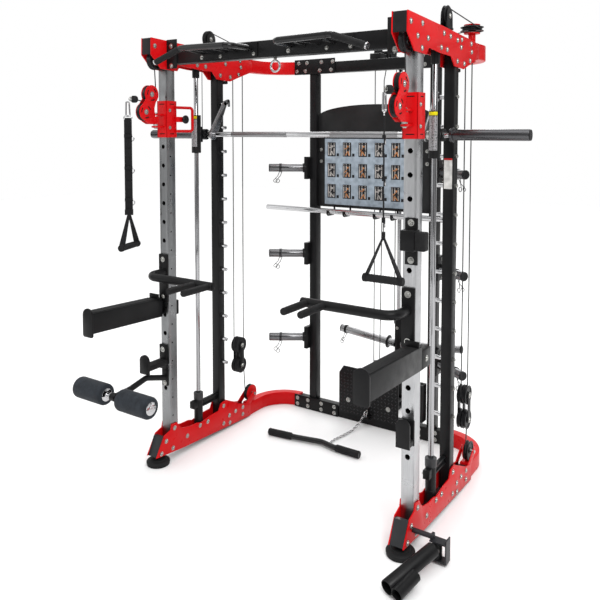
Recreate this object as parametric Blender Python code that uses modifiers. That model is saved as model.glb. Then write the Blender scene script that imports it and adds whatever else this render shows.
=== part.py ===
"""Dual-pulley smith machine: a cage with a guided barbell, cable carriages and a rear weight tower.

Metres, +Z up, +X to the user's right when facing the machine's back panel from the front, +Y to the back.
Parts are modelled in a design frame whose Y = 0 is the front uprights' front faces; the empty
"frame_origin" moves that frame so that the world origin is the middle of the footprint, on the floor.
"""
import math

import bmesh
import bpy
from mathutils import Matrix, Quaternion, Vector

# ---------------------------------------------------------------- driving dimensions
FOOTPRINT_MIDDLE_Y = 0.49          # from the front uprights' faces back to the middle of the footprint
GAP = 0.0003                       # left between touching parts
SIDE_X = 0.707                     # middle plane of each side frame
POST = 0.060                       # front upright, square tube
POST_TOP = 2.140                   # top of uprights and guide rods, under the top rails
POST_FOOT = 0.070                  # bottom of uprights and guide rods, on the base rails
HOLE_PITCH = 0.100
HOLE_TOP_Z = 1.894
HOLE_COUNT = 16
HOLE_RADIUS = 0.0115
MID_POST_Y = (0.4155, 0.469)
PEG_TOP_Z = 1.934
PEG_PITCH = 0.1377
PEG_COUNT = 12
PEG_TIP_X = 0.645
ROD_Y = 0.258
ROD_RADIUS = 0.0125
BAR_Y = 0.323
BAR_Z = 1.7585
BAR_HALF = 1.110
SLEEVE_START = 0.757
SLEEVE_RADIUS = 0.025
SHAFT_RADIUS = 0.0145
REAR_POST_X = (0.374, 0.424)
REAR_Y = (0.994, 1.050)
BASE_BEAM_TOP = 0.070
TOP_BEAM_Z = (2.133, 2.200)
CORNER_RADIUS = 0.200
CORNER_Y = 1.022
TOWER_Y = 1.410
TOWER_BACK = 1.465
HORN_LEVELS = (1.547, 1.007, 0.470)
SWIVEL_Y = -0.055
SWIVEL_Z = 1.830
PULLEY_RADIUS = 0.047
UPPER_PULLEY = (-0.093, 1.965)
LOWER_PULLEY = (-0.134, 1.874)
STRAP_Y = -0.2435
STRAP_PIVOT_Z = 1.925
GRIP_TURN = {"left": 72, "right": 0}        # degrees that the grip hangs turned, clockwise from above
WEB_TURN = {"left": -34, "right": 64}       # and the flat of the webbing
ARM_ROLLER_YZ = (-0.375, 0.470)
ROLLER_X = -0.6875
ROLLER_RADIUS = 0.053
MINE_PIN_Z = 0.100
MINE_PIVOT = (0.853, -0.022, 0.053)
SIDES = (("left", -1), ("right", 1))

# colour, roughness, metallic
FINISHES = {
    "silver": ((0.60, 0.61, 0.63), 0.35, 0.7),
    "black": ((0.020, 0.020, 0.022), 0.35, 0.0),
    "red": ((0.55, 0.020, 0.025), 0.30, 0.0),
    "chrome": ((0.80, 0.80, 0.82), 0.10, 1.0),
    "rubber": ((0.030, 0.030, 0.030), 0.80, 0.0),
    "foam": ((0.22, 0.26, 0.31), 0.90, 0.0),
    "webbing": ((0.030, 0.030, 0.032), 0.85, 0.0),
    "panel": ((0.045, 0.045, 0.050), 0.45, 0.0),
}

# ---------------------------------------------------------------- scene and helpers
for old in list(bpy.data.objects):
    bpy.data.objects.remove(old, do_unlink=True)

machine = bpy.data.collections.new("smith_machine")
bpy.context.scene.collection.children.link(machine)

frame_origin = bpy.data.objects.new("frame_origin", None)
frame_origin.location = (0, -FOOTPRINT_MIDDLE_Y, 0)
machine.objects.link(frame_origin)


def finish(name):
    """The Principled material of one finish, made once."""
    found = bpy.data.materials.get(name)
    if found:
        return found
    colour, roughness, metallic = FINISHES[name]
    material = bpy.data.materials.new(name)
    material.use_nodes = True
    shader = material.node_tree.nodes["Principled BSDF"]
    shader.inputs["Base Color"].default_value = (*colour, 1)
    shader.inputs["Roughness"].default_value = roughness
    shader.inputs["Metallic"].default_value = metallic
    return material


def from_bmesh(bm):
    bmesh.ops.recalc_face_normals(bm, faces=bm.faces)
    mesh = bpy.data.meshes.new("piece")
    bm.to_mesh(mesh)
    bm.free()
    piece = bpy.data.objects.new("piece", mesh)
    machine.objects.link(piece)
    return piece


def baked(source, weld=0.00002):
    """Replaces an object by the plain welded mesh that its curve or modifiers make."""
    bpy.context.view_layer.update()
    evaluated = source.evaluated_get(bpy.context.evaluated_depsgraph_get())
    mesh = bpy.data.meshes.new_from_object(evaluated)
    mesh.transform(source.matrix_world)
    bm = bmesh.new()
    bm.from_mesh(mesh)
    bmesh.ops.remove_doubles(bm, verts=bm.verts, dist=weld)
    bpy.data.meshes.remove(mesh)
    bpy.data.objects.remove(source, do_unlink=True)
    return from_bmesh(bm)


def box(x, y, z):
    """A block between two values along each axis, given in any order."""
    low = Vector((min(x), min(y), min(z)))
    high = Vector((max(x), max(y), max(z)))
    bm = bmesh.new()
    bmesh.ops.create_cube(bm, size=1)
    size = high - low
    bmesh.ops.transform(bm, verts=bm.verts,
                        matrix=Matrix.Translation((low + high) / 2) @ Matrix.Diagonal((*size, 1)))
    return from_bmesh(bm)


def rod(start, end, radius, sides=12):
    """A round bar between two points."""
    start, end = Vector(start), Vector(end)
    along = end - start
    bm = bmesh.new()
    bmesh.ops.create_cone(bm, cap_ends=True, segments=sides, radius1=radius,
                          radius2=radius, depth=along.length)
    turn = along.to_track_quat("Z", "Y").to_matrix().to_4x4()
    bmesh.ops.transform(bm, verts=bm.verts, matrix=Matrix.Translation((start + end) / 2) @ turn)
    return from_bmesh(bm)


def sheet(outline, across, low, high):
    """Thickens a flat outline along an axis: (y, z) points across x, (x, z) across y, (x, y) across z."""
    curve = bpy.data.curves.new("outline", "CURVE")
    curve.dimensions = "2D"
    curve.fill_mode = "BOTH"
    curve.extrude = abs(high - low) / 2
    spline = curve.splines.new("POLY")
    spline.points.add(len(outline) - 1)
    for point, (u, v) in zip(spline.points, outline):
        point.co = (u, v, 0, 1)
    spline.use_cyclic_u = True
    piece = bpy.data.objects.new("outline", curve)
    machine.objects.link(piece)
    middle = (low + high) / 2
    columns = {"x": ((0, 1, 0), (0, 0, 1), (1, 0, 0), (middle, 0, 0)),
               "y": ((1, 0, 0), (0, 0, 1), (0, -1, 0), (0, middle, 0)),
               "z": ((1, 0, 0), (0, 1, 0), (0, 0, 1), (0, 0, middle))}[across]
    matrix = Matrix([(*column, 0) for column in columns[:3]] + [(*columns[3], 1)]).transposed()
    piece.matrix_world = matrix
    return baked(piece)


def tube(points, radius, bevel_resolution=2):
    """A round tube along points; each bevel_resolution step adds two sides to four."""
    curve = bpy.data.curves.new("route", "CURVE")
    curve.dimensions = "3D"
    curve.bevel_depth = radius
    curve.bevel_resolution = bevel_resolution
    curve.use_fill_caps = True
    curve.render_resolution_u = 0
    spline = curve.splines.new("POLY")
    spline.points.add(len(points) - 1)
    for point, place in zip(spline.points, points):
        point.co = (*place, 1)
    piece = bpy.data.objects.new("route", curve)
    machine.objects.link(piece)
    return baked(piece)


def turned(profile, base, axis, steps=12):
    """A solid of revolution: (radius, height) points along axis from base, closed on the axis or itself."""
    mesh = bpy.data.meshes.new("profile")
    closed = profile[0][0] > 0
    edges = [(i, i + 1) for i in range(len(profile) - 1)]
    if closed:
        edges.append((len(profile) - 1, 0))
    mesh.from_pydata([(radius, 0, height) for radius, height in profile], edges, [])
    piece = bpy.data.objects.new("profile", mesh)
    machine.objects.link(piece)
    screw = piece.modifiers.new("turn", "SCREW")
    screw.steps = steps
    screw.render_steps = steps
    screw.use_merge_vertices = True
    screw.merge_threshold = 0.00001
    turn = Vector(axis).to_track_quat("Z", "Y").to_matrix().to_4x4()
    piece.matrix_world = Matrix.Translation(base) @ turn
    return baked(piece)


def combined(operation, first, others):
    for number, other in enumerate(others):
        step = first.modifiers.new(f"{operation}_{number}", "BOOLEAN")
        step.operation = operation
        step.solver = "EXACT"
        step.object = other
    result = baked(first, weld=0.000002)
    for other in others:
        bpy.data.objects.remove(other, do_unlink=True)
    return result


def union(*pieces):
    return combined("UNION", pieces[0], pieces[1:])


def cut(piece, *cutters):
    return combined("DIFFERENCE", piece, cutters)


def rounded(points, radius, steps=3):
    """A route whose inner corners are arcs of the given radius."""
    points = [Vector(point) for point in points]
    route = [points[0]]
    for before, corner, after in zip(points, points[1:], points[2:]):
        back = (before - corner).normalized()
        ahead = (after - corner).normalized()
        angle = back.angle(ahead)
        reach = min(radius / math.tan(angle / 2), (before - corner).length * 0.49,
                    (after - corner).length * 0.49)
        fillet = reach * math.tan(angle / 2)
        centre = corner + (back + ahead).normalized() * fillet / math.sin(angle / 2)
        first = corner + back * reach - centre
        last = corner + ahead * reach - centre
        swing = first.angle(last)
        hinge = first.cross(last)
        route += [centre + Quaternion(hinge, swing * step / steps) @ first for step in range(steps + 1)]
    return route + [points[-1]]


def wrapped(circles, sides=8):
    """The outline of a band pulled round circles (u, v, radius): the hull of their points."""
    points = sorted({(round(u + r * math.cos(2 * math.pi * k / sides), 7),
                      round(v + r * math.sin(2 * math.pi * k / sides), 7))
                     for u, v, r in circles for k in range(sides)})

    def half(row):
        chain = []
        for point in row:
            while len(chain) > 1 and ((chain[-1][0] - chain[-2][0]) * (point[1] - chain[-2][1])
                                      - (chain[-1][1] - chain[-2][1]) * (point[0] - chain[-2][0])) <= 1e-9:
                chain.pop()
            chain.append(point)
        return chain[:-1]

    return half(points) + half(points[::-1])


bodies = {}


def body(name, pivot):
    """An empty on a joint's axis, which its body's parts are parented to."""
    empty = bpy.data.objects.new(f"{name}_pivot", None)
    empty.location = pivot
    empty.parent = frame_origin
    machine.objects.link(empty)
    bodies[name] = empty


def keep(name, piece, look, on=None):
    """Names a finished part, gives it its material and parents it to its body's empty."""
    piece.name = name
    piece.data.name = name
    piece.data.materials.clear()
    piece.data.materials.append(finish(look))
    piece.data.shade_smooth()
    piece.data.set_sharp_from_angle(angle=math.radians(35))
    parent = bodies[on] if on else frame_origin
    if on:
        piece.data.transform(Matrix.Translation(-parent.location))
    piece.parent = parent


# ---------------------------------------------------------------- side frames
BASE_PLATE = [(-0.110, 0.055), (0.100, 0.035), (0.540, 0.012), (0.699, 0.005), (0.699, 0.082),
              (0.620, 0.104),
              (0.466, 0.177), (0.413, 0.172), (0.395, 0.138), (0.320, 0.135), (0.240, 0.124), (0.208, 0.134),
              (0.149, 0.136), (0.090, 0.149), (0.062, 0.170), (0.048, 0.195), (0.005, 0.200),
              (-0.002, 0.170),
              (-0.050, 0.155)]
BASE_RAIL = [(-0.105, 0.0555), (0.100, 0.0365), (0.540, 0.0135), (0.6985, 0.0065), (0.6985, 0.0695),
             (-0.012, 0.0695), (-0.045, 0.150), (-0.062, 0.150)]
TOP_PLATE = [(-0.113, 2.252), (0.250, 2.235), (0.669, 2.210), (0.725, 2.195), (0.727, 2.136), (0.639, 2.108),
             (0.516, 2.066), (0.398, 2.072), (0.356, 2.112), (0.226, 2.115), (0.099, 2.125), (0.075, 2.094),
             (-0.046, 2.098), (-0.115, 2.166)]
TOP_RAIL = [(0.000, 2.1405), (0.7245, 2.1405), (0.7245, 2.190), (0.669, 2.2085), (0.250, 2.2335),
            (0.000, 2.245)]
TOP_END_CAP = [(-0.1145, 2.168), (-0.1125, 2.2505), (-0.1025, 2.2500), (-0.1045, 2.168)]
PLATE_INNER = (0.6707, 0.6767)
PLATE_OUTER = (0.7373, 0.7433)
RAIL_X = (0.676, 0.738)


def side_plates(outline, side):
    return [sheet(outline, "x", side * low, side * high) for low, high in (PLATE_INNER, PLATE_OUTER)]


def build_base_side(name, side):
    pulley = (0.744, 0.131)
    bracket = wrapped([(*pulley, 0.020), (0.655, 0.070, 0.018)])
    inner, outer = side_plates(BASE_PLATE, side)
    rail = sheet(BASE_RAIL, "x", side * RAIL_X[0], side * RAIL_X[1])
    cheeks = [sheet(bracket, "x", side * low, side * high)
              for low, high in ((0.6727, 0.6767), (0.7373, 0.7413))]
    axle = rod((side * 0.674, *pulley), (side * 0.740, *pulley), 0.008, 8)
    wheel = rod((side * 0.700, *pulley), (side * 0.722, *pulley), 0.0485)
    keep(f"base_side_{name}", union(rail, inner, outer, *cheeks, axle, wheel), "red")
    foot = [(0, 0), (0.062, 0), (0.062, 0.010), (0.042, 0.014), (0.042, 0.0335), (0, 0.0335)]
    keep(f"rubber_foot_{name}", turned(foot, (side * SIDE_X, -0.062, 0), (0, 0, 1), 20), "rubber")


def build_top_side(name, side):
    pulley = (-0.055, 2.140)
    inner, outer = side_plates(TOP_PLATE, side)
    rail = sheet(TOP_RAIL, "x", side * RAIL_X[0], side * RAIL_X[1])
    cap = sheet(TOP_END_CAP, "x", side * RAIL_X[0], side * RAIL_X[1])
    axle = rod((side * 0.675, *pulley), (side * 0.739, *pulley), 0.008, 8)
    wheel = rod((side * 0.696, *pulley), (side * 0.718, *pulley), PULLEY_RADIUS)
    keep(f"top_side_{name}", union(rail, inner, outer, cap, axle, wheel), "red")


def build_front_upright(name, side):
    x = (side * (SIDE_X - POST / 2), side * (SIDE_X + POST / 2))
    post = box(x, (0, POST), (POST_FOOT, POST_TOP))
    depth = 0.012
    holes = [rod((side * SIDE_X, -0.01, HOLE_TOP_Z - k * HOLE_PITCH),
                 (side * SIDE_X, depth, HOLE_TOP_Z - k * HOLE_PITCH),
                 HOLE_RADIUS, 8) for k in range(HOLE_COUNT)]
    keep(f"front_upright_{name}", cut(post, *holes), "silver")


def build_mid_upright(name, side):
    post = box((side * 0.684, side * 0.736), MID_POST_Y, (POST_FOOT, POST_TOP))
    peg_y = 0.4423
    pegs = []
    for k in range(PEG_COUNT):
        z = PEG_TOP_Z - k * PEG_PITCH
        pegs.append(rod((side * 0.690, peg_y, z), (side * PEG_TIP_X, peg_y, z), 0.010, 8))
    keep(f"mid_upright_{name}", union(post, *pegs), "black")


def build_rear_upright(name, side):
    post = box((side * REAR_POST_X[0], side * REAR_POST_X[1]), REAR_Y,
               (BASE_BEAM_TOP + GAP, TOP_BEAM_Z[0] - GAP))
    pieces = []
    for z in HORN_LEVELS:
        pieces.append(box((side * 0.421, side * 0.446), (0.962, 1.040), (z - 0.070, z + 0.070)))
        pieces.append(rod((side * 0.434, 0.9924, z), (side * 0.640, 0.854, z), SLEEVE_RADIUS))
    keep(f"rear_upright_{name}", union(post, *pieces), "black")


def build_guide_rod(name, side):
    x = side * 0.706
    profile = [(0, 0), (0.0290, 0), (0.0290, 0.014), (0.0245, 0.016), (0.0245, 0.180), (0.027, 0.180),
               (0.027, 0.218),
               (ROD_RADIUS, 0.218), (ROD_RADIUS, 2.000), (0.020, 2.000), (0.020, 2.0695), (0, 2.0695)]
    guide = turned(profile, (x, ROD_Y, POST_FOOT), (0, 0, 1))
    clamp = box((x - 0.016, x + 0.016), (ROD_Y - 0.056, ROD_Y - 0.015), (0.207, 0.248))
    tie = box((x - 0.010, x + 0.010), (ROD_Y + 0.015, MID_POST_Y[0] - GAP), (0.195, 0.235))
    keep(f"guide_rod_{name}", union(guide, clamp, tie), "chrome")


def corner_outline(side, start_y):
    """The plan of a corner tube: straight back from start_y, then a quarter turn towards the middle."""
    centre_x = SIDE_X - CORNER_RADIUS
    centre_y = CORNER_Y - CORNER_RADIUS
    half = 0.025
    steps = 8
    outer = []
    inner = []
    for k in range(steps + 1):
        a = math.radians(90 * k / steps)
        for arc, reach in ((outer, CORNER_RADIUS + half), (inner, CORNER_RADIUS - half)):
            arc.append((centre_x + reach * math.cos(a), centre_y + reach * math.sin(a)))
    outline = [(SIDE_X + half, start_y)] + outer + inner[::-1] + [(SIDE_X - half, start_y)]
    return [(side * x, y) for x, y in outline]


def build_corners(name, side):
    keep(f"base_corner_{name}", sheet(corner_outline(side, 0.7003), "z", 0.0, 0.080), "red")
    wheel = (side * 0.700, 0.740)
    top = sheet(corner_outline(side, 0.7275), "z", 2.135, 2.213)
    post = rod((*wheel, 2.205), (*wheel, 2.262), 0.018)
    forks = [rod((*wheel, low), (*wheel, low + 0.006), 0.040) for low in (2.260, 2.300)]
    pin = rod((*wheel, 2.255), (*wheel, 2.308), 0.009)
    disc = rod((*wheel, 2.272), (*wheel, 2.294), 0.0575)
    keep(f"top_corner_{name}", union(top, post, *forks, pin, disc), "red")


def build_top_pulley_block(name, side):
    top = (0.375, 2.297)
    cheek = wrapped([(*top, 0.034), (0.352, 2.246, 0.014), (0.398, 2.246, 0.014)])
    cheeks = [sheet(cheek, "x", side * low, side * high) for low, high in ((0.694, 0.699), (0.721, 0.726))]
    foot = box((side * 0.690, side * 0.730), (0.340, 0.410), (2.236, 2.246))
    wheel = rod((side * 0.701, *top), (side * 0.719, *top), 0.048)
    axle = rod((side * 0.692, *top), (side * 0.728, *top), 0.008, 8)
    keep(f"top_pulley_block_{name}", union(foot, *cheeks, wheel, axle), "black")


# ---------------------------------------------------------------- cross members
def build_cross_members():
    beam = box((-0.6703, 0.6703), (0.0, 0.060), (2.123, 2.203))
    flanges = [box((side * 0.600, side * 0.6703), (-0.006, 0.001), (2.100, 2.250)) for _, side in SIDES]
    eye_shank = rod((0.0, 0.030, 2.124), (0.0, 0.030, 2.105), 0.006)
    eye = tube([(0.030 * math.sin(a), 0.030, 2.082 + 0.026 * math.cos(a))
                for a in (math.radians(20 * k) for k in range(-8, 9, 2))], 0.005)
    keep("front_top_beam", union(beam, *flanges, eye_shank, eye), "black")

    half = SIDE_X - CORNER_RADIUS - GAP
    top = box((-half, half), REAR_Y, TOP_BEAM_Z)
    plates = [box((side * 0.240, side * 0.532), (0.9850, 0.9937), (2.129, 2.222)) for _, side in SIDES]
    pads = [box((side * 0.250, side * 0.500), (0.9930, 0.9950), (2.136, 2.198)) for _, side in SIDES]
    keep("rear_top_beam", union(top, *pads, *plates), "black")
    base = box((-half, half), REAR_Y, (0, BASE_BEAM_TOP))
    plates = [box((side * 0.210, side * 0.532), (0.9850, 0.9937), (0.002, 0.080)) for _, side in SIDES]
    pads = [box((side * 0.220, side * 0.500), (0.9930, 0.9950), (0.006, 0.066)) for _, side in SIDES]
    keep("rear_base_beam", union(base, *pads, *plates), "black")


def build_pull_up_bar(name, side):
    route = rounded([(side * 0.594, -0.165, 2.114), (side * 0.419, -0.164, 2.175),
                     (side * 0.120, -0.164, 2.170),
                     (side * 0.120, -0.002, 2.170)], 0.040, 3)
    bar = tube(route, 0.015, 3)
    gussets = [sheet([(x - 0.022, -0.1505), (x + 0.022, -0.1505), (x + 0.050, -0.0005),
                      (x - 0.050, -0.0005)],
                     "z", 2.158, 2.180) for x in (side * 0.380, side * 0.230)]
    tie = box((side * 0.080, side * 0.440), (-0.0065, -0.0005), (2.130, 2.198))
    keep(f"pull_up_bar_{name}", union(tie, bar, *gussets), "black")


def build_rear_fittings():
    arc = [(-0.3735, 1.308), (0.3735, 1.308), (0.3735, 1.868)]
    arc += [(0.3735 * math.cos(a), 1.868 + 0.0685 * math.sin(a))
            for a in (math.radians(15 * k) for k in range(1, 12))]
    arc.append((-0.3735, 1.868))
    panel = sheet(arc, "y", 1.017, 1.023)
    hooks = []
    for x in (-0.254, -0.142, 0.060, 0.172):
        hooks.append(box((x - 0.006, x + 0.006), (1.010, 1.018), (1.260, 1.322)))
        hooks.append(box((x - 0.006, x + 0.006), (0.925, 1.012), (1.260, 1.272)))
        hooks.append(box((x - 0.006, x + 0.006), (0.925, 0.931), (1.260, 1.296)))
    keep("info_panel", union(panel, *hooks), "panel")
    bar_z = 1.2885
    profile = [(0, 0), (0.014, 0), (0.016, 0.003), (0.016, 1.197), (0.014, 1.200), (0, 1.200)]
    keep("stored_bar", turned(profile, (-0.720, 0.950, bar_z), (1, 0, 0)), "chrome")

    plate = [(-0.200, 0.040), (0.200, 0.040), (0.200, 0.290), (0.170, 0.335), (-0.170, 0.335),
             (-0.200, 0.290)]
    keep("footplate", sheet(plate, "y", 0.9845, 0.9935), "black")
    holder = box((0.330, 0.3737), (0.935, 0.9935), (0.1205, 0.335))
    bore = rod((0.352, 0.964, 0.135), (0.352, 0.964, 0.340), 0.0165)
    keep("bar_holder", cut(holder, bore), "black")

    foot = box((-0.060, 0.060), (REAR_Y[1] + GAP, TOWER_BACK), (0, 0.050))
    pad = box((-0.170, 0.170), (1.365, TOWER_BACK), (0, 0.050))
    mast = rod((0, TOWER_Y, 0.045), (0, TOWER_Y, 2.175), ROD_RADIUS)
    cap = box((-0.035, 0.035), (REAR_Y[1] + GAP, TOWER_BACK), (2.170, 2.240))
    bumper = rod((0, TOWER_Y, 0.048), (0, TOWER_Y, 0.2495), 0.026)
    keep("rear_tower", union(foot, pad, bumper, mast, cap), "black")
    wheel = (1.190, 2.252)
    discs = [rod((x - 0.009, *wheel), (x + 0.009, *wheel), 0.0445) for x in (-0.047, 0.047)]
    axle = rod((-0.062, *wheel), (0.062, *wheel), 0.008, 8)
    saddle = box((-0.030, 0.030), (1.165, 1.215), (2.2403, 2.258))
    keep("rear_pulley_block", union(saddle, axle, *discs), "black")


# ---------------------------------------------------------------- guided bar
def build_smith_bar():
    body("smith_sliders", (0, ROD_Y, BAR_Z))
    body("smith_bar", (0, BAR_Y, BAR_Z))
    for name, side in SIDES:
        sleeve = rod((side * 0.706, ROD_Y, 1.655), (side * 0.706, ROD_Y, 1.865), 0.026)
        web = box((side * 0.692, side * 0.720), (ROD_Y, BAR_Y), (1.715, 1.802))
        housing = rod((side * 0.684, BAR_Y, BAR_Z), (side * 0.728, BAR_Y, BAR_Z), 0.030)
        rod_bore = rod((side * 0.706, ROD_Y, 1.640), (side * 0.706, ROD_Y, 1.880), ROD_RADIUS + 0.0008)
        bar_bore = rod((side * 0.670, BAR_Y, BAR_Z), (side * 0.740, BAR_Y, BAR_Z), SHAFT_RADIUS + 0.0008)
        keep(f"smith_slider_{name}", cut(union(sleeve, web, housing), rod_bore, bar_bore), "silver",
             "smith_sliders")
    half = [(0, BAR_HALF), (0.023, BAR_HALF), (SLEEVE_RADIUS, BAR_HALF - 0.002),
            (SLEEVE_RADIUS, SLEEVE_START + 0.014),
            (0.033, SLEEVE_START + 0.014), (0.033, SLEEVE_START), (SHAFT_RADIUS, SLEEVE_START)]
    profile = [(radius, -x) for radius, x in half] + [(radius, x) for radius, x in reversed(half)]
    shaft = turned(profile, (0, BAR_Y, BAR_Z), (1, 0, 0))
    hooks = []
    for _, side in SIDES:
        x = (side * 0.6350, side * 0.6445)
        arm = wrapped([(BAR_Y, BAR_Z, 0.026), (0.4265, 1.930, 0.014)])
        beak = wrapped([(0.4265, 1.936, 0.013), (0.457, 1.948, 0.012)])
        tip = wrapped([(0.461, 1.947, 0.009), (0.465, 1.922, 0.006)])
        hooks += [sheet(outline, "x", *x) for outline in (arm, beak, tip)]
    keep("smith_bar", union(shaft, *hooks), "chrome", "smith_bar")


# ---------------------------------------------------------------- cable carriages
def build_carriage(name, side):
    body(f"cable_carriage_{name}", (side * SIDE_X, 0.030, 1.839))
    outer = box((side * 0.671, side * 0.743), (-0.006, 0.066), (1.743, 1.935))
    hollow = box((side * 0.6765, side * 0.7375), (-0.0005, 0.0605), (1.700, 1.980))
    sleeve = cut(outer, hollow)
    handle = tube(rounded([(side * 0.6660, 0.052, 1.901), (side * 0.6560, 0.172, 1.901),
                           (side * 0.6560, 0.172, 1.776), (side * 0.6660, 0.052, 1.776)], 0.016, 2), 0.008)
    lug = box((side * 0.650, side * 0.674), (0.048, 0.115), (1.824, 1.852))
    pin_bore = rod((side * 0.640, 0.094, 1.838), (side * 0.690, 0.094, 1.838), 0.0065)
    ears = [box((side * 0.693, side * 0.721), (-0.070, -0.0055), z)
            for z in ((1.794, 1.8035), (1.8565, 1.866))]
    keep(f"cable_carriage_{name}", cut(union(sleeve, handle, lug, *ears), pin_bore), "red",
         f"cable_carriage_{name}")

    body(f"pop_pin_{name}", (side * 0.640, 0.094, 1.838))
    knob = turned([(0, 0), (0.0200, 0), (0.0230, 0.003), (0.0230, 0.012), (0.011, 0.021), (0.0055, 0.0212),
                   (0.0055, 0.054), (0, 0.054)], (side * 0.6265, 0.094, 1.838), (side, 0, 0))
    keep(f"pop_pin_{name}", knob, "black", f"pop_pin_{name}")

    body(f"swivel_head_{name}", (side * 0.7055, SWIVEL_Y, SWIVEL_Z))
    lobe = wrapped([(*UPPER_PULLEY, 0.047), (*LOWER_PULLEY, 0.045)], 14)
    strap = [(-0.125, 1.835), (-0.115, 1.814), (-0.047, 1.814), (-0.047, 1.851), (-0.100, 1.851)]
    cheeks = [sheet(outline, "x", side * low, side * high)
              for low, high in ((0.6905, 0.6940), (0.7170, 0.7205))
              for outline in (lobe, strap)]
    cheeks.append(box((side * 0.691, side * 0.720), (-0.0655, -0.0475), (1.815, 1.850)))
    barrel = rod((side * 0.7055, SWIVEL_Y, 1.8045), (side * 0.7055, SWIVEL_Y, 1.8555), 0.0125)
    axles = [rod((side * 0.692, *centre), (side * 0.719, *centre), 0.0060, 8)
             for centre in (UPPER_PULLEY, LOWER_PULLEY)]
    upper = rod((side * 0.6955, *UPPER_PULLEY), (side * 0.7155, *UPPER_PULLEY), 0.0455)
    keep(f"swivel_head_{name}", union(*cheeks, barrel, *axles, upper), "red", f"swivel_head_{name}")

    body(f"swivel_pulley_{name}", (side * 0.7055, *LOWER_PULLEY))
    rim = [(0.0068, 0), (0.043, 0), (0.0455, 0.003), (0.0400, 0.010), (0.0455, 0.017), (0.043, 0.020),
           (0.0068, 0.020)]
    wheel = turned(rim, (side * 0.6955, *LOWER_PULLEY), (side, 0, 0))
    keep(f"swivel_pulley_{name}", wheel, "black", f"swivel_pulley_{name}")


def build_strap_handle(name, side):
    """Carabiner shank, webbing and its triangle down to the grip; both hang turned about the vertical."""
    x = side * SIDE_X
    body(f"strap_handle_{name}", (x, STRAP_Y, STRAP_PIVOT_Z))
    grip_turn = math.radians(GRIP_TURN[name])
    across = Vector((math.cos(grip_turn), -math.sin(grip_turn), 0))
    middle = Vector((x, STRAP_Y, 0))
    apex = middle + Vector((0, 0, 1.360))
    grip_z = 1.2000
    ends = [middle + across * reach + Vector((0, 0, grip_z)) for reach in (-0.0865, 0.0865)]
    hook = box((x - 0.009, x + 0.009), (STRAP_Y - 0.004, STRAP_Y + 0.004), (1.836, STRAP_PIVOT_Z))
    strap = box((-0.020, 0.020), (-0.003, 0.003), (1.362, 1.842))
    strap.data.transform(Matrix.Translation(middle) @ Matrix.Rotation(-math.radians(WEB_TURN[name]), 4, "Z"))
    knot = box((x - 0.014, x + 0.014), (STRAP_Y - 0.011, STRAP_Y + 0.011), (1.344, 1.372))
    legs = [tube([apex, end + (middle + Vector((0, 0, grip_z)) - end) * 0.10], 0.007, 2) for end in ends]
    grip = rod(*ends, 0.0165)
    keep(f"strap_handle_{name}", union(strap, hook, knot, *legs, grip), "webbing", f"strap_handle_{name}")


# ---------------------------------------------------------------- cable-driven weights
def build_weight_carriage():
    body("weight_carriage", (0, TOWER_Y, 0.405))
    sleeve = rod((0, TOWER_Y, 0.2503), (0, TOWER_Y, 0.560), SLEEVE_RADIUS)
    horns = []
    for _, side in SIDES:
        start = Vector((side * 0.017, TOWER_Y, 0.3896))
        end = Vector((side * 0.430, TOWER_Y, 0.4285))
        along = (end - start).normalized()
        horns.append(rod(start, end, 0.0245))
        horns.append(rod(start + along * 0.050, start + along * 0.058, 0.042))
    bore = rod((0, TOWER_Y, 0.200), (0, TOWER_Y, 0.600), ROD_RADIUS + 0.0008)
    keep("weight_carriage", cut(union(sleeve, *horns), bore), "black", "weight_carriage")


def build_floating_block(name, side):
    body(f"floating_block_{name}", (side * 0.720, 0.646, 0.400))
    shell = wrapped([(0.646, 0.460, 0.036), (0.646, 0.335, 0.036)])
    cheeks = [sheet(shell, "x", side * low, side * high)
              for low, high in ((0.6925, 0.6960), (0.7180, 0.7220), (0.7440, 0.7475))]
    axles = [rod((side * 0.689, 0.646, z), (side * 0.751, 0.646, z), 0.010, 8) for z in (0.460, 0.335)]
    wheels = [rod((side * low, 0.646, z), (side * (low + 0.020), 0.646, z), 0.0475)
              for z in (0.460, 0.335) for low in (0.6970, 0.7230)]
    keep(f"floating_block_{name}", union(*cheeks, *axles, *wheels), "black", f"floating_block_{name}")


# ---------------------------------------------------------------- attachments
def build_dip_bar(name, side):
    plate = box((side * 0.677, side * 0.737), (-0.0125, -GAP), (0.868, 1.122))
    bar = tube(rounded([(side * 0.702, -0.004, 1.026), (side * 0.702, -0.130, 1.026),
                        (side * 0.256, -0.130, 1.026)],
                       0.080, 4), 0.021, 3)
    grips = [rod((side * x, -0.1266, 1.0254), (side * x, end, 1.0254), 0.0165)
             for x, end in ((0.370, -0.320), (0.282, -0.316))]
    keep(f"dip_bar_{name}", union(plate, bar, *grips), "black")


def build_spotter_arm(name, side):
    beam = sheet([(-0.476, 0.805), (-0.476, 0.905), (-0.0132, 0.886), (-0.0132, 0.786)], "x", side * 0.710,
                 side * 0.775)
    end = sheet(wrapped([(side * 0.720, 0.798, 0.012), (side * 0.764, 0.798, 0.012),
                         (side * 0.742, 0.892, 0.034)]),
                "y", -0.485, -0.4755)
    lip = box((side * 0.7105, side * 0.7745), (-0.048, -0.038), (0.880, 0.912))
    cheek = box((side * 0.7376, side * 0.775), (-0.014, 0.076), (0.787, 0.865))
    back = box((side * 0.677, side * 0.7745), (0.0605, 0.0755), (0.7875, 0.8645))
    keep(f"spotter_arm_{name}", union(beam, end, lip, cheek, back), "black")


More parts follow.
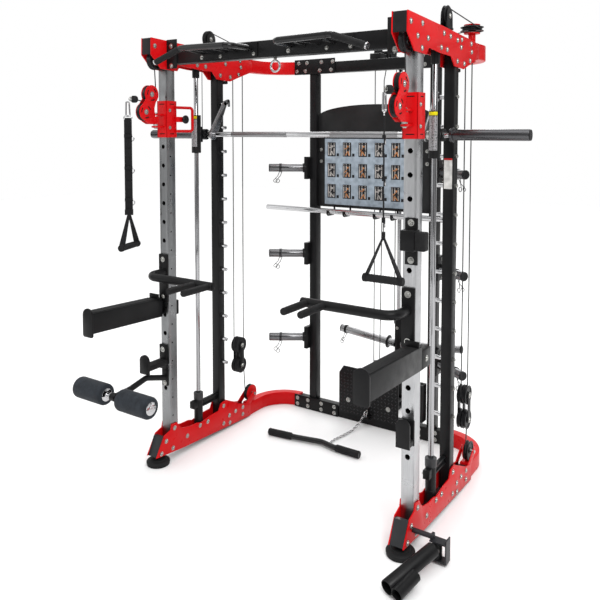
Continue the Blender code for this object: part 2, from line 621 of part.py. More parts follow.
def build_j_hook_left():
    plate = box((-0.742, -0.690), (-0.0105, -GAP), (0.500, 0.632))
    tongue = box((-0.740, -0.682), (-0.150, -0.001), (0.528, 0.550))
    lip = box((-0.742, -0.680), (-0.1545, -0.1395), (0.512, 0.584))
    crown = rod((-0.711, -0.1540, 0.582), (-0.711, -0.1400, 0.582), 0.0305, 16)
    keep("j_hook_left", union(plate, tongue, lip, crown), "black")


def build_j_hook_right():
    plate = box((0.6765, 0.7395), (-0.0105, -GAP), (0.452, 0.560))
    tongue = box((0.6785, 0.7375), (-0.050, -0.001), (0.456, 0.478))
    lip = box((0.6765, 0.7395), (-0.0560, -0.0440), (0.452, 0.548))
    crown = rod((0.708, -0.0555, 0.546), (0.708, -0.0445, 0.546), 0.0310, 16)
    keep("j_hook_right", union(plate, tongue, lip, crown), "black")


def build_upper_j_hook():
    plate = box((0.690, 0.746), (-0.0105, -GAP), (1.220, 1.416))
    cradle = box((0.6895, 0.754), (-0.060, -0.001), (1.284, 1.370))
    reach = box((0.753, 0.800), (-0.058, -0.016), (1.288, 1.366))
    keep("upper_j_hook_right", union(plate, cradle, reach), "black")


def build_leg_rollers():
    y, z = ARM_ROLLER_YZ
    arm = tube(rounded([(-0.705, -0.0055, 0.452), (-0.705, -0.143, 0.492), (-0.700, -0.258, 0.470),
                        (ROLLER_X, y, z)],
                       0.050, 2), 0.015, 3)
    foot = box((-0.7265, -0.685), (-0.008, -GAP), (0.410, 0.498))
    hub = rod((ROLLER_X - 0.026, y, z), (ROLLER_X + 0.026, y, z), 0.022)
    bore = rod((ROLLER_X - 0.040, y, z), (ROLLER_X + 0.040, y, z), 0.0082)
    keep("leg_arm", cut(union(foot, arm, hub), bore), "black")
    body("leg_rollers", (ROLLER_X, y, z))
    half = [(0, 0.262), (0.013, 0.262), (0.013, 0.2545), (ROLLER_RADIUS, 0.2545), (ROLLER_RADIUS, 0.0525),
            (0.0075, 0.0525)]
    profile = [(radius, -x) for radius, x in half] + [(radius, x) for radius, x in reversed(half)]
    keep("leg_rollers", turned(profile, (ROLLER_X, y, z), (1, 0, 0)), "foam", "leg_rollers")


def build_landmine():
    x, y, z = MINE_PIVOT
    body("landmine_clevis", (0.780, y, MINE_PIN_Z))
    pin = rod((0.7438, y, MINE_PIN_Z), (0.832, y, MINE_PIN_Z), 0.0105)
    boss = box((0.827, 0.838), (y - 0.014, y + 0.014), (z + 0.036, MINE_PIN_Z + 0.013))
    wall = box((0.895, 0.901), (y - 0.022, y + 0.022), (z - 0.042, MINE_PIN_Z + 0.010))
    ears = [box((0.827, 0.901), (y - 0.022, y + 0.022), (z + low, z + low + 0.006))
            for low in (-0.042, 0.035)]
    keep("landmine_clevis", union(pin, boss, wall, *ears), "black", "landmine_clevis")
    body("landmine_tube", MINE_PIVOT)
    near = Vector((0.8580, -0.0800, 0.0840))
    far = Vector((0.7760, -0.3320, 0.0365))
    barrel = rod((x, y, z - 0.0345), (x, y, z + 0.0345), 0.0150)
    neck = rod(MINE_PIVOT, (0.858, -0.090, 0.074), 0.012)
    large = rod(near, far, 0.030)
    small = rod((0.8480, -0.2310, 0.0560), (0.8240, -0.3480, 0.0360), 0.025)
    bore = rod(near + (far - near) * 0.30, far + (far - near) * 0.10, 0.0262)
    keep("landmine_tube", cut(union(large, barrel, neck, small), bore), "black", "landmine_tube")


def build_floor_items():
    z = 0.0205
    route = rounded([(-0.420, 0.552, z), (-0.249, 0.573, z), (-0.090, 0.606, z), (-0.007, 0.587, z),
                     (0.161, 0.585, z)], 0.080, 2)
    bar = tube(route, 0.0150)
    grips = [rod(start, end, 0.0200) for start, end in (((-0.420, 0.552, z), (-0.270, 0.5705, z)),
                                                            ((0.012, 0.5868, z), (0.161, 0.585, z)))]
    keep("curl_bar", union(bar, *grips), "black")
    links = [(-0.062, 0.630, 0.007), (-0.060, 0.690, 0.007), (-0.045, 0.770, 0.007), (-0.030, 0.850, 0.010),
             (-0.018, 0.900, 0.030), (-0.006, 0.940, 0.068), (0.000, 0.960, 0.095)]
    keep("chain", tube(links, 0.006, 2), "chrome")


for side_name, sign in SIDES:
    build_base_side(side_name, sign)
    build_top_side(side_name, sign)
    build_front_upright(side_name, sign)
    build_mid_upright(side_name, sign)
    build_rear_upright(side_name, sign)
    build_guide_rod(side_name, sign)
    build_corners(side_name, sign)
    build_top_pulley_block(side_name, sign)
    build_pull_up_bar(side_name, sign)
    build_carriage(side_name, sign)
    build_strap_handle(side_name, sign)
    build_floating_block(side_name, sign)
    build_dip_bar(side_name, sign)
    build_spotter_arm(side_name, sign)
build_cross_members()
build_rear_fittings()
build_smith_bar()
build_weight_carriage()
build_j_hook_left()
build_j_hook_right()
build_upper_j_hook()
build_leg_rollers()
build_landmine()
build_floor_items()
bpy.context.view_layer.update()
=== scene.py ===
"""Looks of the smith machine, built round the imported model.

Pieces are made in the machine's own frame: X across, Z up, Y = 0 at the front uprights' front faces.
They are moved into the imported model's frame by one shift along Y, read from the model itself.
"""
import math

import bmesh
import bpy
from mathutils import Matrix, Quaternion, Vector


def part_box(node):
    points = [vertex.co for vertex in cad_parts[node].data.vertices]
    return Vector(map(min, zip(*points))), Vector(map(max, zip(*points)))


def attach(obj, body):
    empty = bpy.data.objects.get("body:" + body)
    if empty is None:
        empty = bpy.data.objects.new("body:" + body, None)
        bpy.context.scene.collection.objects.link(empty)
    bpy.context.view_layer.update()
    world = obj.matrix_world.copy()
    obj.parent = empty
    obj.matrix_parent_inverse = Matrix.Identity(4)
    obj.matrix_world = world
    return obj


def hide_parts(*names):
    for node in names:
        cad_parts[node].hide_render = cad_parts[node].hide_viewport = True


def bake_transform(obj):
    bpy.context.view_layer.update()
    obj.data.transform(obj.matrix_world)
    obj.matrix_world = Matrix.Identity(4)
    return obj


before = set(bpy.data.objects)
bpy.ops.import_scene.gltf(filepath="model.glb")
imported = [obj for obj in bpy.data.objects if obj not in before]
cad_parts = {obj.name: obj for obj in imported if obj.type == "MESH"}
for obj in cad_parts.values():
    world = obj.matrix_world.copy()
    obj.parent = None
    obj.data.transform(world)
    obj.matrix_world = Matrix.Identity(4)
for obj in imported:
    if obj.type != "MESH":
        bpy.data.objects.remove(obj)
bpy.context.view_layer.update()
FRONT_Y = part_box("front_upright_left")[0][1]
SHIFT = Matrix.Translation((0, FRONT_Y, 0))
SIDES = (("left", -1), ("right", 1))

# ------------------------------------------------------------------ dimensions shared with the model
SIDE_X = 0.707
INNER_FACE = 0.6707
OUTER_FACE = 0.7433
PLATES = ((INNER_FACE, 0.6767), (0.7373, OUTER_FACE))
RAIL_X = (0.676, 0.738)
ROD_Y = 0.258
BAR_Y, BAR_Z = 0.323, 1.7585
TOWER_Y = 1.41
STRAP_Y = -0.2435
GRIP_TURN = {"left": 72, "right": 0}
WEB_TURN = {"left": -34, "right": 64}
RING_SIDE = {"left": 1, "right": -1}
UPPER_PULLEY = (-0.093, 1.965)
LOWER_PULLEY = (-0.134, 1.874)
HORN_LEVELS = (1.547, 1.007, 0.47)
PEG_LEVELS = [1.934 - 0.1377 * k for k in range(12)]
HOLE_LEVELS = [1.894 - 0.1 * k for k in range(16)]
SMALL_HOLE_LEVELS = [1.642 - 0.1 * k for k in range(15)]
CABLE = 0.0028
ACROSS, FORWARD, BACK, UP, DOWN = (1, 0, 0), (0, -1, 0), (0, 1, 0), (0, 0, 1), (0, 0, -1)


def pair(side, low, high):
    """The same span of X on the right or, mirrored, on the left."""
    return side * low, side * high


# ------------------------------------------------------------------ materials
def shader_of(name):
    material = bpy.data.materials.new(name)
    material.use_nodes = True
    tree = material.node_tree
    return material, tree, tree.nodes["Principled BSDF"]


def preset(node, **values):
    """Sets a node's inputs by name, with _ for a space."""
    for name, value in values.items():
        node.inputs[name.replace("_", " ")].default_value = value


def noise_value(tree, scale, detail=3.0, stretch=None):
    coords = tree.nodes.new("ShaderNodeTexCoord")
    texture = tree.nodes.new("ShaderNodeTexNoise")
    preset(texture, Scale=scale, Detail=detail)
    if stretch:
        mapping = tree.nodes.new("ShaderNodeMapping")
        preset(mapping, Scale=stretch)
        tree.links.new(coords.outputs["Object"], mapping.inputs["Vector"])
        tree.links.new(mapping.outputs["Vector"], texture.inputs["Vector"])
    else:
        tree.links.new(coords.outputs["Object"], texture.inputs["Vector"])
    return texture.outputs["Fac"]


def spread(tree, value, low, high, start=0.3, stop=0.7):
    ranged = tree.nodes.new("ShaderNodeMapRange")
    preset(ranged, From_Min=start, From_Max=stop, To_Min=low, To_Max=high)
    tree.links.new(value, ranged.inputs["Value"])
    return ranged.outputs["Result"]


def tinted(tree, value, dark, light, start=0.3, stop=0.7):
    ramp = tree.nodes.new("ShaderNodeValToRGB")
    for element, place, colour in zip(ramp.color_ramp.elements, (start, stop), (dark, light)):
        element.position = place
        element.color = (*colour, 1)
    tree.links.new(value, ramp.inputs["Fac"])
    return ramp.outputs["Color"]


def bumped(tree, shader, value, strength, distance):
    bump = tree.nodes.new("ShaderNodeBump")
    preset(bump, Strength=strength, Distance=distance)
    tree.links.new(value, bump.inputs["Height"])
    tree.links.new(bump.outputs["Normal"], shader.inputs["Normal"])


def coated_paint(name, colour, roughness, gloss=0.22, coat=0.0, mottle=0.12, peel=0.1, peel_scale=420):
    """Powder coat: slight mottling, patches of different gloss and a fine orange-peel bump."""
    material, tree, shader = shader_of(name)
    dark = [channel * (1 - mottle) for channel in colour]
    light = [min(1, channel * (1 + mottle)) for channel in colour]
    tree.links.new(tinted(tree, noise_value(tree, 9.0), dark, light), shader.inputs["Base Color"])
    tree.links.new(spread(tree, noise_value(tree, 23.0, 5.0), roughness * 0.82, roughness * 1.2),
                   shader.inputs["Roughness"])
    bumped(tree, shader, noise_value(tree, peel_scale, 2.0), peel, 0.0006)
    preset(shader, Specular_IOR_Level=gloss, Coat_Weight=coat, Coat_Roughness=0.12)
    return material


def brushed_metal(name, colour, roughness, stretch=(60, 60, 1.5), scratch=0.12):
    """Metal with fine scratches along one axis and smudges of roughness."""
    material, tree, shader = shader_of(name)
    streaks = noise_value(tree, 14.0, 6.0, stretch)
    dark = [channel * 0.84 for channel in colour]
    tree.links.new(tinted(tree, streaks, dark, colour), shader.inputs["Base Color"])
    tree.links.new(spread(tree, noise_value(tree, 16.0, 5.0), roughness * 0.7, roughness * 1.4),
                   shader.inputs["Roughness"])
    bumped(tree, shader, streaks, scratch, 0.0004)
    preset(shader, Metallic=1.0)
    return material


def soft_surface(name, colour, roughness, grain_scale, strength, distance=0.001, sheen=0.0):
    """Rubber, foam or plastic with a pebbled grain."""
    material, tree, shader = shader_of(name)
    grain = noise_value(tree, grain_scale, 4.0)
    dark = [channel * 0.72 for channel in colour]
    light = [min(1, channel * 1.25) for channel in colour]
    tree.links.new(tinted(tree, noise_value(tree, 30.0, 6.0), dark, light), shader.inputs["Base Color"])
    tree.links.new(spread(tree, grain, roughness * 0.88, min(1.0, roughness * 1.12)),
                   shader.inputs["Roughness"])
    bumped(tree, shader, grain, strength, distance)
    preset(shader, Specular_IOR_Level=0.22, Sheen_Weight=sheen)
    return material


def crossed_waves(tree, scale, turn):
    """Two sets of parallel ridges that cross, for a weave or a knurl."""
    coords = tree.nodes.new("ShaderNodeTexCoord")
    ridges = []
    for sign in (1, -1):
        mapping = tree.nodes.new("ShaderNodeMapping")
        wave = tree.nodes.new("ShaderNodeTexWave")
        preset(mapping, Rotation=(sign * turn, 0, sign * turn))
        preset(wave, Scale=scale)
        wave.wave_profile = "TRI"
        tree.links.new(coords.outputs["Object"], mapping.inputs["Vector"])
        tree.links.new(mapping.outputs["Vector"], wave.inputs["Vector"])
        ridges.append(wave.outputs["Fac"])
    product = tree.nodes.new("ShaderNodeMath")
    product.operation = "MULTIPLY"
    tree.links.new(ridges[0], product.inputs[0])
    tree.links.new(ridges[1], product.inputs[1])
    return product.outputs["Value"]


def webbing_fabric(name, colour):
    material, tree, shader = shader_of(name)
    weave = crossed_waves(tree, 110.0, math.radians(35))
    # The raised crossings of the weave are made lighter: painted highlight on the threads' tops.
    light = [channel * 1.9 for channel in colour]
    tree.links.new(tinted(tree, weave, colour, light), shader.inputs["Base Color"])
    preset(shader, Roughness=0.85, Specular_IOR_Level=0.2, Sheen_Weight=0.05)
    bumped(tree, shader, weave, 0.5, 0.0008)
    return material


def knurled_metal(name, colour):
    material, tree, shader = shader_of(name)
    knurl = crossed_waves(tree, 160.0, math.radians(45))
    # The knurl's valleys are darkened to 0.55 of the metal's colour: painted shade in the grooves.
    dark = [channel * 0.55 for channel in colour]
    tree.links.new(tinted(tree, knurl, dark, colour), shader.inputs["Base Color"])
    preset(shader, Roughness=0.32, Metallic=1.0)
    bumped(tree, shader, knurl, 0.55, 0.0007)
    return material


def perforated_label(name):
    """A grey plate with a grid of small dark dots."""
    material, tree, shader = shader_of(name)
    coords = tree.nodes.new("ShaderNodeTexCoord")
    cells = tree.nodes.new("ShaderNodeTexVoronoi")
    preset(cells, Scale=150.0, Randomness=0.35)
    tree.links.new(coords.outputs["Object"], cells.inputs["Vector"])
    dots = tinted(tree, cells.outputs["Distance"], (0.03, 0.03, 0.03), (0.34, 0.34, 0.35), 0.34, 0.42)
    tree.links.new(dots, shader.inputs["Base Color"])
    preset(shader, Roughness=0.4, Metallic=0.5)
    return material


LOOKS = {
    "red": coated_paint("red", (0.56, 0.0035, 0.0055), 0.32, gloss=0.14, coat=0.02, mottle=0.05),
    "red_plastic": coated_paint("red_plastic", (0.38, 0.004, 0.006), 0.42),
    "black": coated_paint("black", (0.0075, 0.0075, 0.008), 0.36, gloss=0.16, mottle=0.25, peel=0.22),
    "gloss_black": coated_paint("gloss_black", (0.006, 0.006, 0.0065), 0.17, gloss=0.3, coat=0.15,
                                peel=0.04),
    "gunmetal": brushed_metal("gunmetal", (0.1, 0.1, 0.105), 0.24, (1.5, 60, 60)),
    "end_cap": coated_paint("end_cap", (0.022, 0.023, 0.025), 0.22, gloss=0.4),
    "grey": coated_paint("grey", (0.035, 0.035, 0.037), 0.38),
    "silver": brushed_metal("silver", (0.5, 0.505, 0.515), 0.33),
    # A darker copy of the silver, used on the left upright as painted shade.
    "silver_painted_shade": brushed_metal("silver_painted_shade", (0.27, 0.275, 0.28), 0.33),
    "steel": brushed_metal("steel", (0.3, 0.3, 0.305), 0.24, (20, 20, 20)),
    "chrome": brushed_metal("chrome", (0.58, 0.58, 0.59), 0.1, (1.5, 60, 60), 0.02),
    "chrome_rod": brushed_metal("chrome_rod", (0.42, 0.42, 0.43), 0.1, (60, 60, 1.5), 0.02),
    "horn": brushed_metal("horn", (0.17, 0.17, 0.175), 0.2, (1.5, 60, 60), 0.03),
    "zinc": brushed_metal("zinc", (0.46, 0.46, 0.44), 0.26, (20, 20, 20), 0.08),
    "knurl": knurled_metal("knurl", (0.46, 0.46, 0.47)),
    "rubber": soft_surface("rubber", (0.009, 0.009, 0.0095), 0.68, 260.0, 0.35),
    "plastic": soft_surface("plastic", (0.009, 0.009, 0.01), 0.4, 320.0, 0.12),
    "foam": soft_surface("foam", (0.02, 0.024, 0.03), 0.85, 190.0, 0.55, 0.0015, 0.05),
    "webbing": webbing_fabric("webbing", (0.0065, 0.0065, 0.0072)),
    "cable": soft_surface("cable", (0.012, 0.012, 0.013), 0.38, 500.0, 0.1),
    # Near-black used only as painted shade: inside holes, bores, slots, a clamp's split and the webbing's
    # creases.
    "dark": soft_surface("dark", (0.002, 0.002, 0.002), 0.8, 200.0, 0.1),
    "panel": coated_paint("panel", (0.014, 0.014, 0.0145), 0.36, mottle=0.3, peel=0.15),
    "chart": soft_surface("chart", (0.33, 0.39, 0.45), 0.45, 700.0, 0.06),
    "figure": soft_surface("figure", (0.018, 0.019, 0.022), 0.55, 300.0, 0.05),
    "figure_light": soft_surface("figure_light", (0.42, 0.4, 0.38), 0.55, 300.0, 0.05),
    "skin_tone": soft_surface("skin_tone", (0.46, 0.2, 0.08), 0.55, 300.0, 0.05),
    "label": soft_surface("label", (0.6, 0.59, 0.57), 0.4, 500.0, 0.05),
    "yellow": soft_surface("yellow", (0.62, 0.56, 0.004), 0.4, 400.0, 0.06),
    "perforated": perforated_label("perforated"),
}


# ---------------------------------------------------------------- shape helpers: each returns (bmesh, look)
def bevelled(bm, edges, width, segments=2):
    if width and edges:
        bmesh.ops.bevel(bm, geom=edges, offset=width, offset_type="OFFSET", segments=segments, profile=0.5,
                        affect="EDGES", clamp_overlap=True)


def box(x, y, z, look, edge=0.0015):
    low = Vector((min(x), min(y), min(z)))
    high = Vector((max(x), max(y), max(z)))
    bm = bmesh.new()
    bmesh.ops.create_cube(bm, size=1)
    bmesh.ops.transform(bm, verts=bm.verts,
                        matrix=Matrix.Translation((low + high) / 2) @ Matrix.Diagonal((*(high - low), 1)))
    bevelled(bm, list(bm.edges), edge)
    return bm, look


def rod(start, end, radius, look, sides=36, edge=0.001):
    start, end = Vector(start), Vector(end)
    along = end - start
    bm = bmesh.new()
    bmesh.ops.create_cone(bm, cap_ends=True, segments=sides, radius1=radius, radius2=radius,
                          depth=along.length)
    rims = [e for e in bm.edges if abs(e.verts[0].co.z - e.verts[1].co.z) < 1e-6]
    bevelled(bm, rims, min(edge, radius * 0.4))
    turn = along.to_track_quat("Z", "Y").to_matrix().to_4x4()
    bmesh.ops.transform(bm, verts=bm.verts, matrix=Matrix.Translation((start + end) / 2) @ turn)
    return bm, look


def sheet(outline, across, low, high, look, edge=0.0012):
    """A flat outline thickened along an axis: (y, z) points across x, (x, z) across y, (x, y) across z."""
    place = {"x": lambda u, v, w: (w, u, v),
             "y": lambda u, v, w: (u, w, v),
             "z": lambda u, v, w: (u, v, w)}[across]
    bm = bmesh.new()
    bottom = bm.faces.new([bm.verts.new(place(u, v, low)) for u, v in outline])
    raised = bmesh.ops.extrude_face_region(bm, geom=[bottom])["geom"]
    step = Vector(place(0, 0, high)) - Vector(place(0, 0, low))
    bmesh.ops.translate(bm, verts=[v for v in raised if isinstance(v, bmesh.types.BMVert)], vec=step)
    bmesh.ops.recalc_face_normals(bm, faces=bm.faces)
    axis = step.normalized()
    rims = [e for e in bm.edges if abs((e.verts[0].co - e.verts[1].co).dot(axis)) < 1e-7]
    bevelled(bm, rims, edge)
    return bm, look


def turned(profile, base, axis, look, steps=36):
    """A solid of revolution: (radius, height) points along axis from base."""
    bm = bmesh.new()
    verts = [bm.verts.new((radius, 0, height)) for radius, height in profile]
    edges = [bm.edges.new(pair) for pair in zip(verts, verts[1:])]
    if profile[0][0] > 0:
        edges.append(bm.edges.new((verts[-1], verts[0])))
    bmesh.ops.spin(bm, geom=verts + edges, cent=(0, 0, 0), axis=(0, 0, 1), angle=2 * math.pi, steps=steps,
                   use_merge=True)
    bmesh.ops.remove_doubles(bm, verts=bm.verts, dist=1e-6)
    bmesh.ops.recalc_face_normals(bm, faces=bm.faces)
    turn = Vector(axis).to_track_quat("Z", "Y").to_matrix().to_4x4()
    bmesh.ops.transform(bm, verts=bm.verts, matrix=Matrix.Translation(base) @ turn)
    return bm, look


def tube(points, radius, look, sides=16, closed=False):
    """A round tube along points, with flat ends, or closed on itself."""
    points = [Vector(point) for point in points]
    count = len(points)
    tangents = []
    for k in range(count):
        before = points[k - 1] if closed or k else points[k]
        after = points[(k + 1) % count] if closed or k < count - 1 else points[k]
        tangents.append((after - before).normalized())
    normal = tangents[0].orthogonal().normalized()
    bm = bmesh.new()
    rings = []
    for k in range(count):
        if k:
            normal = tangents[k - 1].rotation_difference(tangents[k]) @ normal
        side = tangents[k].cross(normal)
        rings.append([bm.verts.new(points[k] + radius * (math.cos(a) * normal + math.sin(a) * side))
                      for a in (2 * math.pi * j / sides for j in range(sides))])
    pairs = list(zip(rings, rings[1:]))
    if closed:
        pairs.append((rings[-1], rings[0]))
    for one, two in pairs:
        for j in range(sides):
            bm.faces.new((one[j], one[(j + 1) % sides], two[(j + 1) % sides], two[j]))
    if not closed:
        bm.faces.new(rings[0])
        bm.faces.new(rings[-1])
    bmesh.ops.recalc_face_normals(bm, faces=bm.faces)
    return bm, look


def rounded(points, radius, steps=8):
    """A route whose inner corners are arcs of the given radius."""
    points = [Vector(point) for point in points]
    route = [points[0]]
    for before, corner, after in zip(points, points[1:], points[2:]):
        back = (before - corner).normalized()
        ahead = (after - corner).normalized()
        angle = back.angle(ahead)
        reach = min(radius / math.tan(angle / 2), (before - corner).length * 0.49,
                    (after - corner).length * 0.49)
        fillet = reach * math.tan(angle / 2)
        centre = corner + (back + ahead).normalized() * fillet / math.sin(angle / 2)
        first = corner + back * reach - centre
        last = corner + ahead * reach - centre
        swing = first.angle(last)
        hinge = first.cross(last)
        route += [centre + Quaternion(hinge, swing * step / steps) @ first for step in range(steps + 1)]
    return route + [points[-1]]


def wrapped(circles, sides=40):
    """The outline of a band pulled round circles (u, v, radius): the hull of their points."""
    points = sorted({(round(u + r * math.cos(2 * math.pi * k / sides), 7),
                      round(v + r * math.sin(2 * math.pi * k / sides), 7))
                     for u, v, r in circles for k in range(sides)})

    def half(row):
        chain = []
        for point in row:
            while len(chain) > 1 and ((chain[-1][0] - chain[-2][0]) * (point[1] - chain[-2][1])
                                      - (chain[-1][1] - chain[-2][1]) * (point[0] - chain[-2][0])) <= 1e-9:
                chain.pop()
            chain.append(point)
        return chain[:-1]

    return half(points) + half(points[::-1])


def ring(centre, normal, radius, wire, look, stretch=1.0, along=(0, 0, 1)):
    """A wire ring about normal; stretch lengthens it along a direction into an oval link."""
    normal = Vector(normal).normalized()
    up = Vector(along) - normal * Vector(along).dot(normal)
    up.normalize()
    side = normal.cross(up)
    points = [Vector(centre) + radius * (math.cos(a) * side + stretch * math.sin(a) * up)
              for a in (2 * math.pi * k / 28 for k in range(28))]
    return tube(points, wire, look, 10, closed=True)


def joined(parts):
    """One bmesh of all the parts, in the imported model's frame, and the looks in its slots' order."""
    looks = []
    whole = bmesh.new()
    for bm, look in parts:
        if look not in looks:
            looks.append(look)
        for face in bm.faces:
            face.material_index = looks.index(look)
        mesh = bpy.data.meshes.new("part")
        bm.to_mesh(mesh)
        bm.free()
        whole.from_mesh(mesh)
        bpy.data.meshes.remove(mesh)
    bmesh.ops.transform(whole, verts=whole.verts, matrix=SHIFT)
    return whole, looks


def shown(name, body, parts, replaces=()):
    """Joins parts into one piece that rides on a body and may stand for model nodes."""
    whole, looks = joined(parts)
    mesh = bpy.data.meshes.new(name)
    whole.to_mesh(mesh)
    whole.free()
    for look in looks:
        mesh.materials.append(LOOKS[look])
    mesh.shade_smooth()
    mesh.set_sharp_from_angle(angle=math.radians(38))
    piece = bpy.data.objects.new(name, mesh)
    bpy.context.scene.collection.objects.link(piece)
    if body:
        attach(piece, body)
    if replaces:
        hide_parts(*replaces)
    return piece


def linked(name, bm, look):
    """A plain object in the scene made from a bmesh, which is freed."""
    mesh = bpy.data.meshes.new(name)
    bm.to_mesh(mesh)
    bm.free()
    mesh.materials.append(look)
    item = bpy.data.objects.new(name, mesh)
    bpy.context.scene.collection.objects.link(item)
    return item


def bolt(at, axis, radius=0.0085, look="zinc"):
    """A button-head screw on a washer."""
    profile = [(0, -0.001), (1.45 * radius, -0.001), (1.45 * radius, 0.0015), (radius, 0.0016),
               (0.97 * radius, 0.004),
               (0.78 * radius, 0.0062), (0.46 * radius, 0.0068), (0.42 * radius, 0.003), (0, 0.003)]
    return turned(profile, at, axis, look, 18)


def nut(at, axis, radius=0.011):
    """A hexagon nut with a stub of thread standing out of it."""
    hexagon = [(0, -0.001), (radius, -0.001), (radius, 0.008), (radius * 0.86, 0.0092), (0, 0.0092)]
    return [turned(hexagon, at, axis, "zinc", 6),
            turned([(0, 0), (radius * 0.45, 0), (radius * 0.45, 0.012), (0, 0.013)], at, axis, "zinc", 14)]


def pulley(centre, radius, width, look="plastic", axis=(1, 0, 0), hub="zinc"):
    """A grooved wheel with recessed sides and a bright hub, its middle plane at centre."""
    r, w = radius, width
    profile = [(0, 0), (0.3 * r, 0), (0.34 * r, 0.16 * w), (0.78 * r, 0.16 * w), (0.82 * r, 0),
               (0.97 * r, 0),
               (r, 0.04 * w), (r, 0.12 * w), (0.83 * r, 0.42 * w), (0.83 * r, 0.58 * w), (r, 0.88 * w),
               (r, 0.96 * w),
               (0.97 * r, w), (0.82 * r, w), (0.78 * r, 0.84 * w), (0.34 * r, 0.84 * w), (0.3 * r, w),
               (0, w)]
    axis = Vector(axis)
    base = Vector(centre) - axis * w / 2
    cap = [(0, 0), (0.2 * r, 0), (0.2 * r, w + 0.003), (0.12 * r, w + 0.004), (0, w + 0.004)]
    return [turned(profile, base, axis, look, 40), turned(cap, base - axis * 0.002, axis, hub, 20)]


def spring_clip(at, along, radius, name, body):
    """A wire spring collar: three coils round a horn and two crossing handles below it."""
    along = Vector(along).normalized()
    up = Vector((0, 0, 1))
    side = along.cross(up).normalized()
    points = []
    for k in range(61):
        a = 2 * math.pi * (k / 20) + math.pi * 1.35
        points.append(Vector(at) + along * (k / 20) * 0.0052
                      + (radius + 0.002) * (math.cos(a) * side + math.sin(a) * up))
    tails = []
    for end, sign in ((points[0], -1), (points[-1], 1)):
        reach = end + Vector((0, 0, -0.026)) + side * sign * 0.005 + along * 0.01
        loop = reach + Vector((0, 0, -0.03)) + side * sign * 0.014 + along * 0.016
        curl = [loop + 0.012 * (math.cos(a) * along - math.sin(a) * up)
                for a in (math.radians(40 * k) for k in range(8))]
        tails.append([reach, *curl])
    route = tails[0][::-1] + points + tails[1]
    shown(name, body, [tube(route, 0.0019, "plastic", 8)])


# ------------------------------------------------------------------ side frames
BASE_PLATE = [(-0.11, 0.055), (0.1, 0.035), (0.54, 0.012), (0.699, 0.005), (0.699, 0.082), (0.62, 0.104),
              (0.466, 0.177), (0.44, 0.18), (0.413, 0.172), (0.395, 0.138), (0.32, 0.135), (0.24, 0.124),
              (0.208, 0.134), (0.149, 0.136), (0.09, 0.149), (0.062, 0.17), (0.048, 0.195), (0.005, 0.2),
              (-0.002, 0.17), (-0.05, 0.155)]
BASE_RAIL = [(-0.105, 0.0555), (0.1, 0.0365), (0.54, 0.0135), (0.6985, 0.0065), (0.6985, 0.0695),
             (-0.012, 0.0695), (-0.045, 0.15), (-0.062, 0.15)]
BASE_BOLTS = [(0.027, 0.172), (0.126, 0.09), (-0.037, 0.122), (0.013, 0.066), (-0.073, 0.067),
              (0.439, 0.154),
              (0.55, 0.084), (0.621, 0.084), (0.491, 0.078), (0.62, 0.041), (0.438, 0.048), (0.496, 0.032),
              (0.232, 0.111), (0.297, 0.11)]
TOP_PLATE = [(-0.113, 2.252), (0.25, 2.235), (0.669, 2.21), (0.725, 2.195), (0.727, 2.136), (0.639, 2.108),
             (0.516, 2.066), (0.398, 2.072), (0.356, 2.112), (0.226, 2.115), (0.099, 2.125), (0.075, 2.094),
             (-0.046, 2.098), (-0.115, 2.166)]
TOP_RAIL = [(0.0, 2.1405), (0.7245, 2.1405), (0.7245, 2.19), (0.669, 2.2085), (0.25, 2.2335), (0.0, 2.245)]
TOP_END_CAP = [(-0.1145, 2.168), (-0.1125, 2.2505), (-0.1025, 2.25), (-0.1045, 2.168)]
TOP_BOLTS = [(-0.088, 2.211), (0.026, 2.217), (-0.021, 2.161), (0.085, 2.163), (0.261, 2.204),
             (0.339, 2.199),
             (0.426, 2.192), (0.48, 2.2), (0.473, 2.164), (0.609, 2.194), (0.616, 2.156), (0.024, 2.116),
             (0.232, 2.139), (0.3, 2.136), (0.427, 2.096), (0.516, 2.092), (0.594, 2.112)]


def side_plates(outline, side, look="red"):
    return [sheet(outline, "x", side * low, side * high, look) for low, high in PLATES]


def plate_bolts(places, side, radius=0.0085):
    """Screws through both plates of a side frame, heads on the outside and the inside."""
    heads = []
    for y, z in places:
        heads.append(bolt((side * OUTER_FACE, y, z), (side, 0, 0), radius))
        heads.append(bolt((side * INNER_FACE, y, z), (-side, 0, 0), radius))
    return heads


def make_base_side(name, side):
    centre = (side * 0.711, 0.744, 0.131)
    bracket = wrapped([(0.744, 0.131, 0.02), (0.655, 0.07, 0.018)])
    rail = sheet(BASE_RAIL, "x", side * RAIL_X[0], side * RAIL_X[1], "end_cap")
    cheeks = [sheet(bracket, "x", side * low, side * high, "red")
              for low, high in ((0.6727, 0.6767), (0.7373, 0.7413))]
    disc = wrapped([(0.744, 0.131, 0.048), (0.744, 0.131, 0.047)], 48)
    cheeks.append(sheet(disc, "x", side * 0.695, side * 0.6985, "red", 0.001))
    shown(f"base_frame_{name}", "root", [rail, *side_plates(BASE_PLATE, side), *cheeks,
                                         *pulley(centre, 0.0485, 0.022),
                                         rod((side * 0.668, 0.744, 0.131), (side * 0.746, 0.744, 0.131),
                                             0.008, "zinc")],
          [f"base_side_{name}"])
    shown(f"base_bolts_{name}", "root", plate_bolts(BASE_BOLTS, side))
    foot = [(0, 0), (0.0585, 0), (0.06, 0.002), (0.0605, 0.01), (0.062, 0.012), (0.062, 0.019),
            (0.06, 0.022),
            (0.052, 0.025), (0.044, 0.027), (0.042, 0.0325), (0.04, 0.0335), (0, 0.0335)]
    shown(f"foot_pad_{name}", "root", [turned(foot, (side * SIDE_X, -0.062, 0), UP, "rubber", 56)],
          [f"rubber_foot_{name}"])


